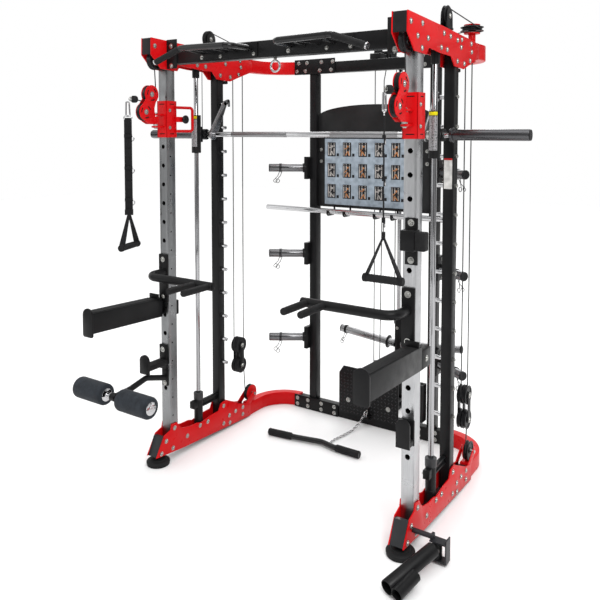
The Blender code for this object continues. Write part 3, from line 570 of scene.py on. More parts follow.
def make_top_side(name, side):
    rail = sheet(TOP_RAIL, "x", side * RAIL_X[0], side * RAIL_X[1], "black")
    cap = sheet(TOP_END_CAP, "x", side * RAIL_X[0], side * RAIL_X[1], "plastic", 0.002)
    wheel = pulley((side * 0.707, -0.055, 2.14), 0.047, 0.026)
    shown(f"top_frame_{name}", "root", [rail, cap, *side_plates(TOP_PLATE, side), *wheel],
          [f"top_side_{name}"])
    buffer = rod((side * 0.707, 0.5, 2.069), (side * 0.707, 0.5, 2.052), 0.024, "rubber", edge=0.004)
    shown(f"top_bolts_{name}", "root", plate_bolts(TOP_BOLTS, side))
    shown(f"top_buffer_{name}", "root", [buffer])


def make_front_upright(name, side):
    """Square tube with a row of through holes in its front wall; their walls and floors are painted
    near-black as shade.
    """
    # The left upright gets the darker copy of the same silver paint, as painted shade.
    look = "silver" if side > 0 else "silver_painted_shade"
    post, _ = box(pair(side, 0.677, 0.737), (0, 0.06), (0.07, 2.14), look, 0.0035)
    upright = shown(f"upright_{name}", "root", [(post, look)], [f"front_upright_{name}"])
    # The holes are cut into a solid post and lined with near-black: painted shade for the tube's dark
    # inside.
    upright.data.materials.append(LOOKS["dark"])
    drills = [rod((side * SIDE_X, -0.01, z), (side * SIDE_X, 0.03, z), 0.0115, "dark", 28, 0)
              for z in HOLE_LEVELS]
    drills += [rod((side * 0.67, 0.022, z), (side * 0.69, 0.022, z), 0.0045, "dark", 16, 0)
               for z in SMALL_HOLE_LEVELS]
    cutter = linked("drills", joined(drills)[0], LOOKS["dark"])
    step = upright.modifiers.new("holes", "BOOLEAN")
    step.operation = "DIFFERENCE"
    step.solver = "EXACT"
    step.object = cutter
    step.material_mode = "TRANSFER"
    bpy.context.view_layer.update()
    cut = bpy.data.meshes.new_from_object(upright.evaluated_get(bpy.context.evaluated_depsgraph_get()))
    upright.modifiers.clear()
    upright.data = cut
    bpy.data.objects.remove(cutter)
    rims = [ring((side * SIDE_X, -0.0001, z), BACK, 0.0122, 0.0007, look) for z in HOLE_LEVELS]
    shown(f"upright_hole_rims_{name}", "root", rims)


def make_mid_upright(name, side):
    parts = [box(pair(side, 0.684, 0.736), (0.4155, 0.469), (0.07, 2.14), "black", 0.004)]
    for z in PEG_LEVELS:
        parts.append(rod((side * 0.69, 0.4423, z), (side * 0.645, 0.4423, z), 0.01, "chrome", 24, 0.0015))
        parts.append(rod((side * 0.686, 0.4423, z), (side * 0.681, 0.4423, z), 0.0145, "black", 24))
        parts += nut((side * 0.736, 0.4423, z), (side, 0, 0))
    shown(f"peg_post_{name}", "root", parts, [f"mid_upright_{name}"])


def make_rear_upright(name, side):
    parts = [box(pair(side, 0.374, 0.424), (0.994, 1.05), (0.0703, 2.1327), "black", 0.004)]
    for z in HORN_LEVELS:
        root, end = Vector((side * 0.434, 0.9924, z)), Vector((side * 0.64, 0.854, z))
        along = (end - root).normalized()
        parts.append(box(pair(side, 0.421, 0.446), (0.962, 1.04), (z - 0.07, z + 0.07), "black", 0.003))
        parts.append(rod(root, end - along * 0.006, 0.025, "horn", 44, 0.0012))
        parts.append(rod(root + along * 0.012, root + along * 0.034, 0.029, "black", 44))
        parts.append(turned([(0, 0), (0.025, 0), (0.025, 0.004), (0.0215, 0.0075), (0, 0.008)],
                            end - along * 0.009,
                            along, "plastic", 36))
        for drop in (-0.05, 0.05):
            parts.append(bolt((side * 0.446, 1.02, z + drop), (side, 0, 0), 0.0075))
        spring_clip(root + along * 0.165, along, 0.025, f"horn_clip_{name}_{round(z * 1000)}", "root")
    shown(f"rear_post_{name}", "root", parts, [f"rear_upright_{name}"])


def make_guide_rod(name, side):
    x = side * 0.706
    lower = [(0, 0.07), (0.029, 0.07), (0.029, 0.082), (0.0245, 0.087), (0.0245, 0.14), (0.0236, 0.141),
             (0.0236, 0.145), (0.0245, 0.146), (0.0245, 0.249), (0, 0.249)]
    collar = [(0.0125, 0.249), (0.0262, 0.249), (0.027, 0.251), (0.027, 0.284), (0.0262, 0.288),
              (0.0125, 0.288)]
    upper = [(0.0125, 2.072), (0.019, 2.072), (0.02, 2.075), (0.02, 2.139), (0.0125, 2.139)]
    base = (x, ROD_Y, 0)
    clamp = [box((x - 0.016, x + 0.016), (ROD_Y - 0.056, ROD_Y - 0.015), (0.207, 0.248), "black", 0.003),
             # A near-black sheet down the clamp's split: painted shade in the gap.
             box((x - 0.0005, x + 0.0005), (ROD_Y - 0.0565, ROD_Y - 0.03), (0.2065, 0.2485), "dark", 0),
             bolt((x - 0.016, ROD_Y - 0.043, 0.228), (-1, 0, 0), 0.006)]
    tie = [box((x - 0.01, x + 0.01), (ROD_Y + 0.015, 0.415), (0.196, 0.206), "black", 0.002),
           box((x - 0.01, x + 0.01), (ROD_Y + 0.015, 0.415), (0.224, 0.234), "black", 0.002),
           box((x - 0.003, x + 0.003), (ROD_Y + 0.015, 0.415), (0.2, 0.23), "black", 0)]
    shown(f"rod_{name}", "root",
          [rod((x, ROD_Y, 0.1), (x, ROD_Y, 2.135), 0.0125, "chrome_rod", 40),
           turned(lower, base, UP, "black"),
           turned(collar, base, UP, "grey"), turned(upper, base, UP, "black"), *clamp, *tie],
          [f"guide_rod_{name}"])


def corner_outline(side, start_y, half, steps=28):
    """Plan of a corner tube: straight back from start_y, then a quarter turn towards the middle."""
    radius = 0.2
    centre_x, centre_y = SIDE_X - radius, 1.022 - radius
    arcs = {}
    for reach in (half, -half):
        arcs[reach] = [(centre_x + (radius + reach) * math.cos(a), centre_y + (radius + reach) * math.sin(a))
                       for a in (math.radians(90 * k / steps) for k in range(steps + 1))]
    outline = [(SIDE_X + half, start_y)] + arcs[half] + arcs[-half][::-1] + [(SIDE_X - half, start_y)]
    return [(side * x, y) for x, y in outline]


def make_corners(name, side):
    shown(f"base_bend_{name}", "root",
          [sheet(corner_outline(side, 0.7003, 0.025), "z", 0.0, 0.08, "red", 0.004)],
          [f"base_corner_{name}"])
    wheel = (side * 0.7, 0.74)
    parts = [sheet(corner_outline(side, 0.7275, 0.025), "z", 2.135, 2.213, "red", 0.004),
             rod((*wheel, 2.205), (*wheel, 2.262), 0.018, "red"),
             rod((*wheel, 2.26), (*wheel, 2.265), 0.04, "red", 44),
             rod((*wheel, 2.301), (*wheel, 2.306), 0.04, "red", 44),
             bolt((*wheel, 2.306), UP, 0.009),
             *pulley((*wheel, 2.283), 0.0575, 0.022, axis=(0, 0, 1))]
    shown(f"top_bend_{name}", "root", parts, [f"top_corner_{name}"])


def make_top_pulley_block(name, side):
    top = (0.375, 2.297)
    cheek = wrapped([(*top, 0.034), (0.352, 2.246, 0.014), (0.398, 2.246, 0.014)])
    x = side * 0.71
    parts = [sheet(cheek, "x", side * low, side * high, "black")
             for low, high in ((0.694, 0.699), (0.721, 0.726))]
    parts.append(box(pair(side, 0.69, 0.73), (0.34, 0.41), (2.236, 2.246), "black"))
    parts += pulley((x, *top), 0.048, 0.018)
    parts += [bolt((side * 0.726, *top), (side, 0, 0), 0.009),
              bolt((side * 0.694, *top), (-side, 0, 0), 0.009)]
    shown(f"roof_pulley_{name}", "root", parts, [f"top_pulley_block_{name}"])


# ------------------------------------------------------------------ cross members and rear fittings
def make_cross_members():
    parts = [box((-0.6703, 0.6703), (0.0, 0.06), (2.123, 2.203), "black", 0.004)]
    for _, side in SIDES:
        parts.append(box(pair(side, 0.6, 0.6703), (-0.006, 0.001), (2.1, 2.25), "black", 0.002))
        for z in (2.114, 2.215):
            parts.append(bolt((side * 0.637, -0.006, z), FORWARD, 0.0095))
    parts.append(rod((0, 0.03, 2.124), (0, 0.03, 2.106), 0.008, "zinc"))
    parts.append(ring((0, 0.03, 2.082), BACK, 0.026, 0.005, "chrome"))
    shown("front_beam", "root", parts, ["front_top_beam"])
    half = 0.5067
    top = [box((-half, half), (0.994, 1.05), (2.133, 2.2), "black", 0.004)]
    base = [box((-half, half), (0.994, 1.05), (0, 0.07), "black", 0.004)]
    for _, side in SIDES:
        top.append(box(pair(side, 0.24, 0.532), (0.985, 0.9937), (2.129, 2.222), "black", 0.002))
        top.append(box(pair(side, 0.245, 0.5), (0.993, 0.995), (2.136, 2.198), "black", 0))
        base.append(box(pair(side, 0.21, 0.532), (0.985, 0.9937), (0.002, 0.08), "black", 0.002))
        base.append(box(pair(side, 0.215, 0.5), (0.993, 0.995), (0.006, 0.066), "black", 0))
        for x in (0.265, 0.345, 0.45, 0.512):
            top.append(bolt((side * x, 0.985, 2.15), FORWARD))
            top.append(bolt((side * (x - 0.012), 0.985, 2.2), FORWARD))
        for x in (0.235, 0.33, 0.43, 0.508):
            base.append(bolt((side * x, 0.985, 0.022), FORWARD))
            base.append(bolt((side * x, 0.985, 0.06), FORWARD))
    shown("rear_beam_top", "root", top, ["rear_top_beam"])
    shown("rear_beam_base", "root", base, ["rear_base_beam"])


def make_pull_up_bar(name, side):
    corners = [(side * 0.594, -0.165, 2.114), (side * 0.419, -0.164, 2.175), (side * 0.12, -0.164, 2.17),
               (side * 0.12, -0.002, 2.17)]
    route = rounded(corners, 0.04)
    outer, elbow = Vector(corners[0]), Vector(corners[1])
    along = (outer - elbow).normalized()
    parts = [tube(route, 0.0138, "gloss_black", 28),
             tube([elbow + along * 0.012, outer - along * 0.007], 0.015, "rubber", 28),
             turned([(0, 0), (0.015, 0), (0.015, 0.007), (0.012, 0.0095), (0, 0.0095)],
                    outer - along * 0.0095, along,
                    "chrome"),
             tube([(side * 0.4, -0.164, 2.1747), (side * 0.15, -0.164, 2.1705)], 0.0148, "gloss_black", 28),
             box(pair(side, 0.08, 0.44), (-0.0065, -0.0005), (2.13, 2.198), "black", 0.002)]
    for x in pair(side, 0.38, 0.23):
        for lean in (-1, 1):
            parts.append(sheet([(x + lean * 0.006, -0.152), (x + lean * 0.02, -0.152),
                                (x + lean * 0.05, -0.001),
                                (x + lean * 0.03, -0.001)], "z", 2.16, 2.178, "black"))
        parts.append(sheet([(x - 0.022, -0.152), (x + 0.022, -0.152), (x + 0.026, -0.13),
                            (x - 0.026, -0.13)],
                           "z", 2.16, 2.178, "black"))
    for x in (0.1, 0.305, 0.425):
        parts.append(bolt((side * x, -0.0065, 2.143), FORWARD, 0.007))
    shown(f"chin_bar_{name}", "root", parts, [f"pull_up_bar_{name}"])


def pictogram(x, z, number):
    """A generic exercise drawing: a dark card with a machine frame and a lighter figure made of strokes."""
    y = 1.014
    parts = [box((x - 0.029, x + 0.029), (y, y + 0.001), (z - 0.043, z + 0.043), "figure", 0)]
    for post in (-0.021, -0.004, 0.018):
        parts.append(box((x + post - 0.003, x + post + 0.003), (y - 0.0006, y), (z - 0.037, z + 0.039),
                         "figure_light", 0))
    parts.append(box((x - 0.025, x + 0.022), (y - 0.0008, y), (z + 0.03, z + 0.035), "figure", 0))
    lean = 0.008 * math.sin(number * 1.9)
    reach = 0.012 * math.cos(number * 1.3)
    tone = "skin_tone" if number % 3 != 0 else "figure_light"
    parts.append(rod((x + 0.006, y, z + 0.018), (x + 0.006, y - 0.0018, z + 0.018), 0.0062, tone, 18, 0))
    strokes = [((x + 0.006, z + 0.012), (x + lean, z - 0.01), "figure"),
               ((x + lean, z - 0.01), (x - 0.01, z - 0.036), tone),
               ((x + lean, z - 0.01), (x + 0.015, z - 0.036), tone),
               ((x + 0.005, z + 0.008), (x - 0.016, z + reach), tone),
               ((x + 0.005, z + 0.008), (x + 0.02, z + reach), "figure")]
    for start, end, colour in strokes:
        parts.append(rod((start[0], y - 0.001, start[1]), (end[0], y - 0.001, end[1]), 0.0032, colour, 8, 0))
    parts.append(box((x + 0.036, x + 0.052), (y, y + 0.001), (z - 0.042, z - 0.024), "figure", 0))
    return parts


def make_info_panel():
    arc = [(-0.3735, 1.308), (0.3735, 1.308), (0.3735, 1.868)]
    arc += [(0.3735 * math.cos(a), 1.868 + 0.0685 * math.sin(a))
            for a in (math.radians(3 * k) for k in range(1, 60))]
    arc.append((-0.3735, 1.868))
    parts = [sheet(arc, "y", 1.017, 1.023, "panel", 0.0015)]
    for x in (-0.254, -0.142, 0.06, 0.172):
        hook = rounded([(x, 1.0135, 1.32), (x, 1.0135, 1.266), (x, 0.928, 1.266), (x, 0.928, 1.296)], 0.016)
        parts.append(tube(hook, 0.0058, "black", 14))
    for _, side in SIDES:
        for z in (1.662, 1.59):
            parts.append(bolt((side * 0.352, 1.017, z), FORWARD, 0.0075))
    shown("info_board", "root", parts, ["info_panel"])
    chart = [box((-0.325, 0.325), (1.015, 1.0172), (1.325, 1.73), "chart", 0.0005)]
    number = 0
    for row in range(3):
        for column in range(6):
            chart += pictogram(-0.276 + 0.1085 * column, 1.665 - 0.129 * row, number)
            number += 1
    shown("exercise_chart", "root", chart)


def make_rear_fittings():
    bar = [(0, 0), (0.014, 0), (0.016, 0.002), (0.016, 1.198), (0.014, 1.2), (0, 1.2)]
    shown("spare_bar", "root", [turned(bar, (-0.72, 0.95, 1.2885), ACROSS, "chrome", 40)], ["stored_bar"])
    plate = [(-0.2, 0.04), (0.2, 0.04), (0.2, 0.29), (0.17, 0.335), (-0.17, 0.335), (-0.2, 0.29)]
    parts = [sheet(plate, "y", 0.986, 0.9935, "black", 0.0015)]
    for row in range(13):
        for column in range(17):
            x = -0.184 + 0.023 * column
            z = 0.056 + 0.0215 * row
            if abs(x) + max(0, z - 0.285) > 0.188:
                continue
            turn = math.radians(45 if (row + column) % 2 else -45)
            long, short = 0.0095, 0.0026
            corners = [(long, 0), (0, short), (-long, 0), (0, -short)]
            lozenge = [(x + u * math.cos(turn) - v * math.sin(turn),
                        z + u * math.sin(turn) + v * math.cos(turn))
                       for u, v in corners]
            parts.append(sheet(lozenge, "y", 0.9848, 0.9862, "grey", 0.0004))
    for x in (-0.135, 0.135):
        parts.append(bolt((x, 0.9862, 0.128), FORWARD, 0.01))
    shown("foot_plate", "root", parts, ["footplate"])

    holder = [box((0.33, 0.3737), (0.935, 0.9935), (0.1205, 0.335), "black", 0.003),
              ring((0.352, 0.964, 0.3352), UP, 0.0185, 0.0016, "zinc"),
              # A near-black disc in the socket's mouth: painted shade for its inside.
              rod((0.352, 0.964, 0.334), (0.352, 0.964, 0.3356), 0.017, "dark", edge=0),
              bolt((0.33, 0.965, 0.29), (-1, 0, 0), 0.007), bolt((0.33, 0.965, 0.165), (-1, 0, 0), 0.007)]
    shown("bar_socket", "root", holder, ["bar_holder"])

    tower = [box((-0.06, 0.06), (1.0503, 1.465), (0, 0.05), "black", 0.004),
             box((-0.17, 0.17), (1.365, 1.465), (0, 0.05), "black", 0.004),
             rod((0, TOWER_Y, 0.045), (0, TOWER_Y, 2.175), 0.0125, "chrome_rod", 40),
             rod((0, TOWER_Y, 0.05), (0, TOWER_Y, 0.2495), 0.026, "rubber", 40, 0.004),
             box((-0.035, 0.035), (1.0503, 1.465), (2.17, 2.24), "black", 0.004)]
    for x in (-0.14, 0.14):
        tower.append(bolt((x, 1.415, 0.05), UP, 0.009))
    shown("tower", "root", tower, ["rear_tower"])

    blocks = [box((-0.03, 0.03), (1.165, 1.215), (2.2403, 2.262), "black", 0.002),
              rod((-0.062, 1.19, 2.252), (0.062, 1.19, 2.252), 0.007, "zinc")]
    for x in (-0.047, 0.047):
        blocks += pulley((x, 1.19, 2.252), 0.0445, 0.018)
    shown("rear_pulleys", "root", blocks, ["rear_pulley_block"])

    low = [box((-0.028, 0.028), (0.945, 0.985), (0.052, 0.062), "black", 0.0015),
           ring((0, 0.957, 0.078), ACROSS, 0.013, 0.003, "chrome", 1.5),
           rod((0, 0.975, 0.06), (0, 0.975, 0.1), 0.005, "zinc")]
    shown("low_pulley_fitting", "root", low)


# ------------------------------------------------------------------ guided bar
def make_smith_bar():
    for name, side in SIDES:
        x = side * 0.706
        bore = 0.0133
        sleeve = [(bore, 1.655), (0.0245, 1.655), (0.026, 1.658), (0.026, 1.862), (0.0245, 1.865),
                  (bore, 1.865)]

        def sticker(low, high, look, radius):
            arc = [math.radians(-90 + 10 * k) for k in range(-5, 6)]
            outline = [(x + radius * math.cos(a), ROD_Y + radius * math.sin(a)) for a in arc]
            outline += [(x + 0.0255 * math.cos(a), ROD_Y + 0.0255 * math.sin(a)) for a in reversed(arc)]
            return sheet(outline, "z", low, high, look, 0)

        parts = [turned(sleeve, (x, ROD_Y, 0), UP, "black", 44),
                 sticker(1.845, 1.861, "yellow", 0.0264), sticker(1.69, 1.843, "perforated", 0.0263),
                 box(pair(side, 0.692, 0.72), (ROD_Y + 0.018, BAR_Y - 0.024), (1.715, 1.802), "black",
                     0.003),
                 turned([(0.0153, 0), (0.0285, 0), (0.03, 0.002), (0.03, 0.042), (0.0285, 0.044),
                         (0.0153, 0.044)],
                        (side * 0.684, BAR_Y, BAR_Z), (side, 0, 0), "black", 44)]
        shown(f"bar_bearing_{name}", "smith_sliders", parts, [f"smith_slider_{name}"])
    x = 0.757
    bar = [rod((-x - 0.005, BAR_Y, BAR_Z), (x + 0.005, BAR_Y, BAR_Z), 0.0142, "chrome", 44)]
    for start, end in ((0.13, 0.5), (-0.5, -0.13)):
        bar.append(rod((start, BAR_Y, BAR_Z), (end, BAR_Y, BAR_Z), 0.0145, "knurl", 44, 0.0004))
    for _, side in SIDES:
        profile = [(0, 0), (0.0315, 0), (0.033, 0.0015), (0.033, 0.0125), (0.0315, 0.014), (0.025, 0.014),
                   (0.025, 0.345), (0.0242, 0.348), (0, 0.348)]
        bar.append(turned(profile, (side * x, BAR_Y, BAR_Z), (side, 0, 0), "gunmetal", 48))
        cap = [(0, 0), (0.0235, 0), (0.0235, 0.004), (0.02, 0.005), (0, 0.005)]
        bar.append(turned(cap, (side * 1.105, BAR_Y, BAR_Z), (side, 0, 0), "plastic", 40))
        edges = pair(side, 0.635, 0.6445)
        arm = wrapped([(BAR_Y, BAR_Z, 0.031), (0.4265, 1.93, 0.016)])
        beak = wrapped([(0.4265, 1.936, 0.013), (0.457, 1.948, 0.012)])
        tip = wrapped([(0.461, 1.947, 0.009), (0.465, 1.922, 0.006)])
        bar += [sheet(outline, "x", *edges, "steel", 0.0015) for outline in (arm, beak, tip)]
        bar.append(turned([(0.0144, 0), (0.0225, 0), (0.0235, 0.001), (0.0235, 0.017), (0.0225, 0.018),
                           (0.0144, 0.018)],
                          (side * 0.6445, BAR_Y, BAR_Z), (side, 0, 0), "zinc", 40))
    shown("guided_bar", "smith_bar", bar, ["smith_bar"])


# ------------------------------------------------------------------ cable carriages, swivels and straps
def slot_plate(low, high, y, z):
    """A slot drawn as a shallow near-black inlay on a carriage's front face: painted shade for its opening.
    """
    return sheet(wrapped([(low, z, 0.0022), (high, z, 0.0022)], 16), "y", y - 0.0004, y + 0.001, "dark", 0)


def make_carriage(name, side):
    body = f"cable_carriage_{name}"
    walls = [box(pair(side, 0.671, 0.6765), (-0.006, 0.066), (1.743, 1.935), "red", 0.0012),
             box(pair(side, 0.7375, 0.743), (-0.006, 0.066), (1.743, 1.935), "red", 0.0012),
             box(pair(side, 0.672, 0.742), (-0.006, -0.0005), (1.743, 1.935), "red", 0.0012),
             box(pair(side, 0.672, 0.742), (0.0605, 0.066), (1.743, 1.935), "red", 0.0012)]
    handle = tube(rounded([(side * 0.666, 0.052, 1.901), (side * 0.656, 0.172, 1.901),
                           (side * 0.656, 0.172, 1.776),
                           (side * 0.666, 0.052, 1.776)], 0.016), 0.0078, "red", 18)
    lug = box(pair(side, 0.65, 0.672), (0.048, 0.115), (1.824, 1.852), "red", 0.002)
    ears = [box(pair(side, 0.693, 0.721), (-0.07, -0.0055), z, "red", 0.002)
            for z in ((1.794, 1.8035), (1.8565, 1.866))]
    pivot = [bolt((side * 0.7055, -0.055, 1.866), UP, 0.009),
             bolt((side * 0.7055, -0.055, 1.794), DOWN, 0.009)]
    slots = []
    for z in (1.918, 1.762):
        slots.append(slot_plate(side * 0.69, side * 0.724, -0.006, z))
        # The side walls' slots are near-black inlays too: painted shade.
        for inner, outer in ((0.742, 0.7434), (0.672, 0.6706)):
            slots.append(sheet(wrapped([(0.018, z, 0.0022), (0.044, z, 0.0022)], 16), "x", side * inner,
                               side * outer,
                               "dark", 0))
    for y, z in ((0.015, 1.885), (0.015, 1.795)):
        slots.append(bolt((side * 0.743, y, z), (side, 0, 0), 0.0065))
        slots.append(bolt((side * 0.671, y, z), (-side, 0, 0), 0.0065))
    shown(f"carriage_{name}", body, [*walls, handle, lug, *ears, *pivot, *slots], [f"cable_carriage_{name}"])

    knob = turned([(0, 0), (0.019, 0), (0.0222, 0.0025), (0.0228, 0.006), (0.0215, 0.011), (0.011, 0.015),
                   (0.009, 0.021), (0, 0.021)],
                  (side * 0.6265, 0.094, 1.838), (side, 0, 0), "plastic")
    shank = turned([(0, 0), (0.0054, 0), (0.0054, 0.033), (0.004, 0.036), (0, 0.036)],
                   (side * 0.6445, 0.094, 1.838),
                   (side, 0, 0), "chrome", 24)
    shown(f"pull_knob_{name}", f"pop_pin_{name}", [knob, shank], [f"pop_pin_{name}"])

    body = f"swivel_head_{name}"
    x = side * 0.7055
    waist = [(-0.176, 1.887), (-0.157, 1.841), (-0.134, 1.823), (-0.11, 1.812), (-0.047, 1.812),
             (-0.047, 1.852),
             (-0.0735, 1.853), (-0.0755, 1.895), (-0.064, 1.928), (-0.128, 1.95)]
    parts = []
    for low, high in ((0.6905, 0.694), (0.717, 0.7205)):
        for centre, radius in ((UPPER_PULLEY, 0.047), (LOWER_PULLEY, 0.045)):
            parts.append(sheet(wrapped([(*centre, radius), (*centre, radius * 0.9)], 48), "x", side * low,
                               side * high,
                               "red", 0.0008))
        parts.append(sheet(waist, "x", side * (low + 0.0001), side * (high - 0.0001), "red", 0.0005))
        face = high if low > 0.7 else low
        out = 1 if low > 0.7 else -1
        for centre in (UPPER_PULLEY, LOWER_PULLEY):
            parts.append(bolt((side * face, *centre), (side * out, 0, 0), 0.0095))
            # Three near-black arc inlays round each axle: painted shade for arc-shaped openings in the cheek
            # plates.
            for k in range(3):
                start = math.radians(120 * k + 20)
                arc = [start + math.radians(9 * j) for j in range(6)]
                outline = [(centre[0] + 0.0335 * math.cos(a), centre[1] + 0.0335 * math.sin(a)) for a in arc]
                outline += [(centre[0] + 0.0275 * math.cos(a), centre[1] + 0.0275 * math.sin(a))
                            for a in reversed(arc)]
                parts.append(sheet(outline, "x", side * (face - out * 0.001), side * (face + out * 0.0004),
                                   "dark", 0))
    parts.append(box(pair(side, 0.6909, 0.7201), (-0.0655, -0.0475), (1.815, 1.85), "red", 0.001))
    parts.append(rod((x, -0.055, 1.8045), (x, -0.055, 1.8555), 0.0125, "zinc"))
    parts += pulley((x, *UPPER_PULLEY), 0.0455, 0.02)
    parts.append(rod((side * 0.692, *LOWER_PULLEY), (side * 0.719, *LOWER_PULLEY), 0.006, "zinc"))
    shown(f"swivel_{name}", body, parts, [f"swivel_head_{name}"])
    wheel = pulley((x, *LOWER_PULLEY), 0.0455, 0.02)
    shown(f"swivel_wheel_{name}", f"swivel_pulley_{name}", wheel, [f"swivel_pulley_{name}"])
    stop = [turned([(0, 0), (0.01, 0.0006), (0.0175, 0.008), (0.0195, 0.018), (0.0175, 0.028),
                    (0.01, 0.0354), (0, 0.036)],
                   (x, -0.2, 1.918), UP, "rubber", 32),
            tube([(x, -0.11, 1.926), (x, -0.16, 1.93), (x, -0.196, 1.935)], CABLE, "cable", 10),
            ring((x, -0.226, 1.936), ACROSS, 0.0095, 0.0024, "zinc")]
    shown(f"cable_stop_{name}", body, stop)


def make_strap(name, side):
    """Carabiner, webbing with sewn D-rings, and a triangle of webbing to a ribbed grip."""
    x = side * SIDE_X
    turn = math.radians(GRIP_TURN[name])
    across = Vector((math.cos(turn), -math.sin(turn), 0))
    normal = Vector((math.sin(turn), math.cos(turn), 0))
    middle = Vector((x, STRAP_Y, 0))
    up = Vector((0, 0, 1))
    web = math.radians(WEB_TURN[name])
    width = Vector((math.cos(web), -math.sin(web), 0))
    flat_normal = Vector((math.sin(web), math.cos(web), 0))
    web_turn = Matrix.Translation(middle) @ Matrix.Rotation(-web, 4, "Z")
    snap = tube(rounded([(x, STRAP_Y - 0.01, 1.92), (x, STRAP_Y + 0.01, 1.92), (x, STRAP_Y + 0.014, 1.85),
                         (x, STRAP_Y - 0.012, 1.85), (x, STRAP_Y - 0.01, 1.92)], 0.009), 0.0042, "chrome",
                         14)
    parts = [snap, ring((x, STRAP_Y, 1.842), flat_normal, 0.02, 0.003, "chrome", 0.6)]

    def strap_box(low, high, half, thick, look="webbing"):
        bm, look = box((-half, half), (-thick, thick), (low, high), look, 0.0008)
        bmesh.ops.transform(bm, verts=bm.verts, matrix=web_turn)
        return bm, look

    parts.append(strap_box(1.37, 1.842, 0.0195, 0.0016))
    for top, bottom in ((1.836, 1.76), (1.69, 1.6), (1.53, 1.44)):
        parts.append(strap_box(bottom, top, 0.0185, 0.003))
    # Near-black bands across the webbing where the folded layers end and across their middles: painted shade
    # in the creases and stitch lines.
    for z in (1.76, 1.69, 1.6, 1.53, 1.44, 1.8, 1.645, 1.485):
        parts.append(strap_box(z - 0.0012, z + 0.0012, 0.018, 0.0034, "dark"))
    for z in (1.738, 1.578, 1.418):
        hang = middle + up * z + width * 0.011 * RING_SIDE[name] + flat_normal * 0.0045
        parts.append(ring(hang, flat_normal, 0.0175, 0.0028, "chrome", 0.8))
        parts.append(strap_box(z + 0.006, z + 0.022, 0.0192, 0.007))
    apex = middle + up * 1.368
    parts.append(strap_box(1.356, 1.384, 0.02, 0.0075))
    for reach in (-1, 1):
        end = middle + across * reach * 0.077 + up * 1.2
        along = (end - apex).normalized()
        flat = along.cross(normal).normalized()
        bm = bmesh.new()
        bmesh.ops.create_cube(bm, size=1)
        length = (end - apex).length
        basis = Matrix((flat, normal, along)).transposed().to_4x4()
        for vert in bm.verts:
            if vert.co.z < 0:
                vert.co.y *= 0.35
        bmesh.ops.transform(bm, verts=bm.verts, matrix=Matrix.Translation((apex + end) / 2) @ basis
                            @ Matrix.Diagonal((0.0046, 0.034, length, 1)))
        bevelled(bm, list(bm.edges), 0.0008)
        parts.append((bm, "webbing"))
        parts.append(rod(end - across * reach * 0.009, end + across * reach * 0.009, 0.0172, "webbing", 32,
                         0.003))
    grip = [(0, 0), (0.0125, 0), (0.0155, 0.003)]
    for k in range(12):
        grip += [(0.0162, 0.01 + 0.0125 * k), (0.015, 0.016 + 0.0125 * k)]
    grip += [(0.0155, 0.168), (0.0125, 0.173), (0, 0.173)]
    parts.append(turned(grip, middle - across * 0.0865 + up * 1.2, across, "rubber", 32))
    shown(f"strap_{name}", f"strap_handle_{name}", parts, [f"strap_handle_{name}"])


# ------------------------------------------------------------------ cable-driven weights and cables
def make_weight_carriage():
    parts = [turned([(0.0133, 0.2503), (0.0238, 0.2503), (0.025, 0.253), (0.025, 0.557), (0.0238, 0.56),
                     (0.0133, 0.56)], (0, TOWER_Y, 0), UP, "black", 44)]
    for name, side in SIDES:
        start, end = Vector((side * 0.017, TOWER_Y, 0.3896)), Vector((side * 0.43, TOWER_Y, 0.4285))
        along = (end - start).normalized()
        parts.append(rod(start + along * 0.006, end - along * 0.006, 0.0245, "steel", 44))
        parts.append(rod(start + along * 0.05, start + along * 0.058, 0.042, "black", 48, 0.002))
        parts.append(turned([(0, 0), (0.0245, 0), (0.0245, 0.006), (0.0215, 0.009), (0, 0.009)],
                            end - along * 0.009, along,
                            "plastic", 36))
    for z in (0.5, 0.3):
        parts.append(bolt((0, TOWER_Y - 0.0245, z), FORWARD, 0.007))
    shown("plate_carrier", "weight_carriage", parts, ["weight_carriage"])
    spring_clip((-0.38, TOWER_Y, 0.4238), (-1, 0, 0.09), 0.0245, "carrier_clip", "weight_carriage")


def make_floating_block(name, side):
    shell = wrapped([(0.646, 0.46, 0.019), (0.646, 0.335, 0.019)])
    parts = [sheet(shell, "x", side * low, side * high, "black", 0.001)
             for low, high in ((0.6925, 0.6955), (0.7185, 0.7215), (0.7445, 0.7475))]
    for z in (0.46, 0.335):
        for centre in (0.707, 0.733):
            parts.append(pulley((side * centre, 0.646, z), 0.0472, 0.02)[0])
        parts.append(rod((side * 0.694, 0.646, z), (side * 0.746, 0.646, z), 0.0095, "black", 24))
        parts.append(bolt((side * 0.7475, 0.646, z), (side, 0, 0), 0.01))
        parts.append(bolt((side * 0.6925, 0.646, z), (-side, 0, 0), 0.01))
    shown(f"moving_pulleys_{name}", f"floating_block_{name}", parts, [f"floating_block_{name}"])


def cable(name, points):
    shown(name, "root", [tube(points, CABLE, "cable", 10)])


def blended_cable(name, points, radius=CABLE):
    """A straight cable, standing on no body, with its placing baked into its mesh."""
    piece = shown(name, None, [tube(points, radius, "cable", 10)])
    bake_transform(piece)
    return piece


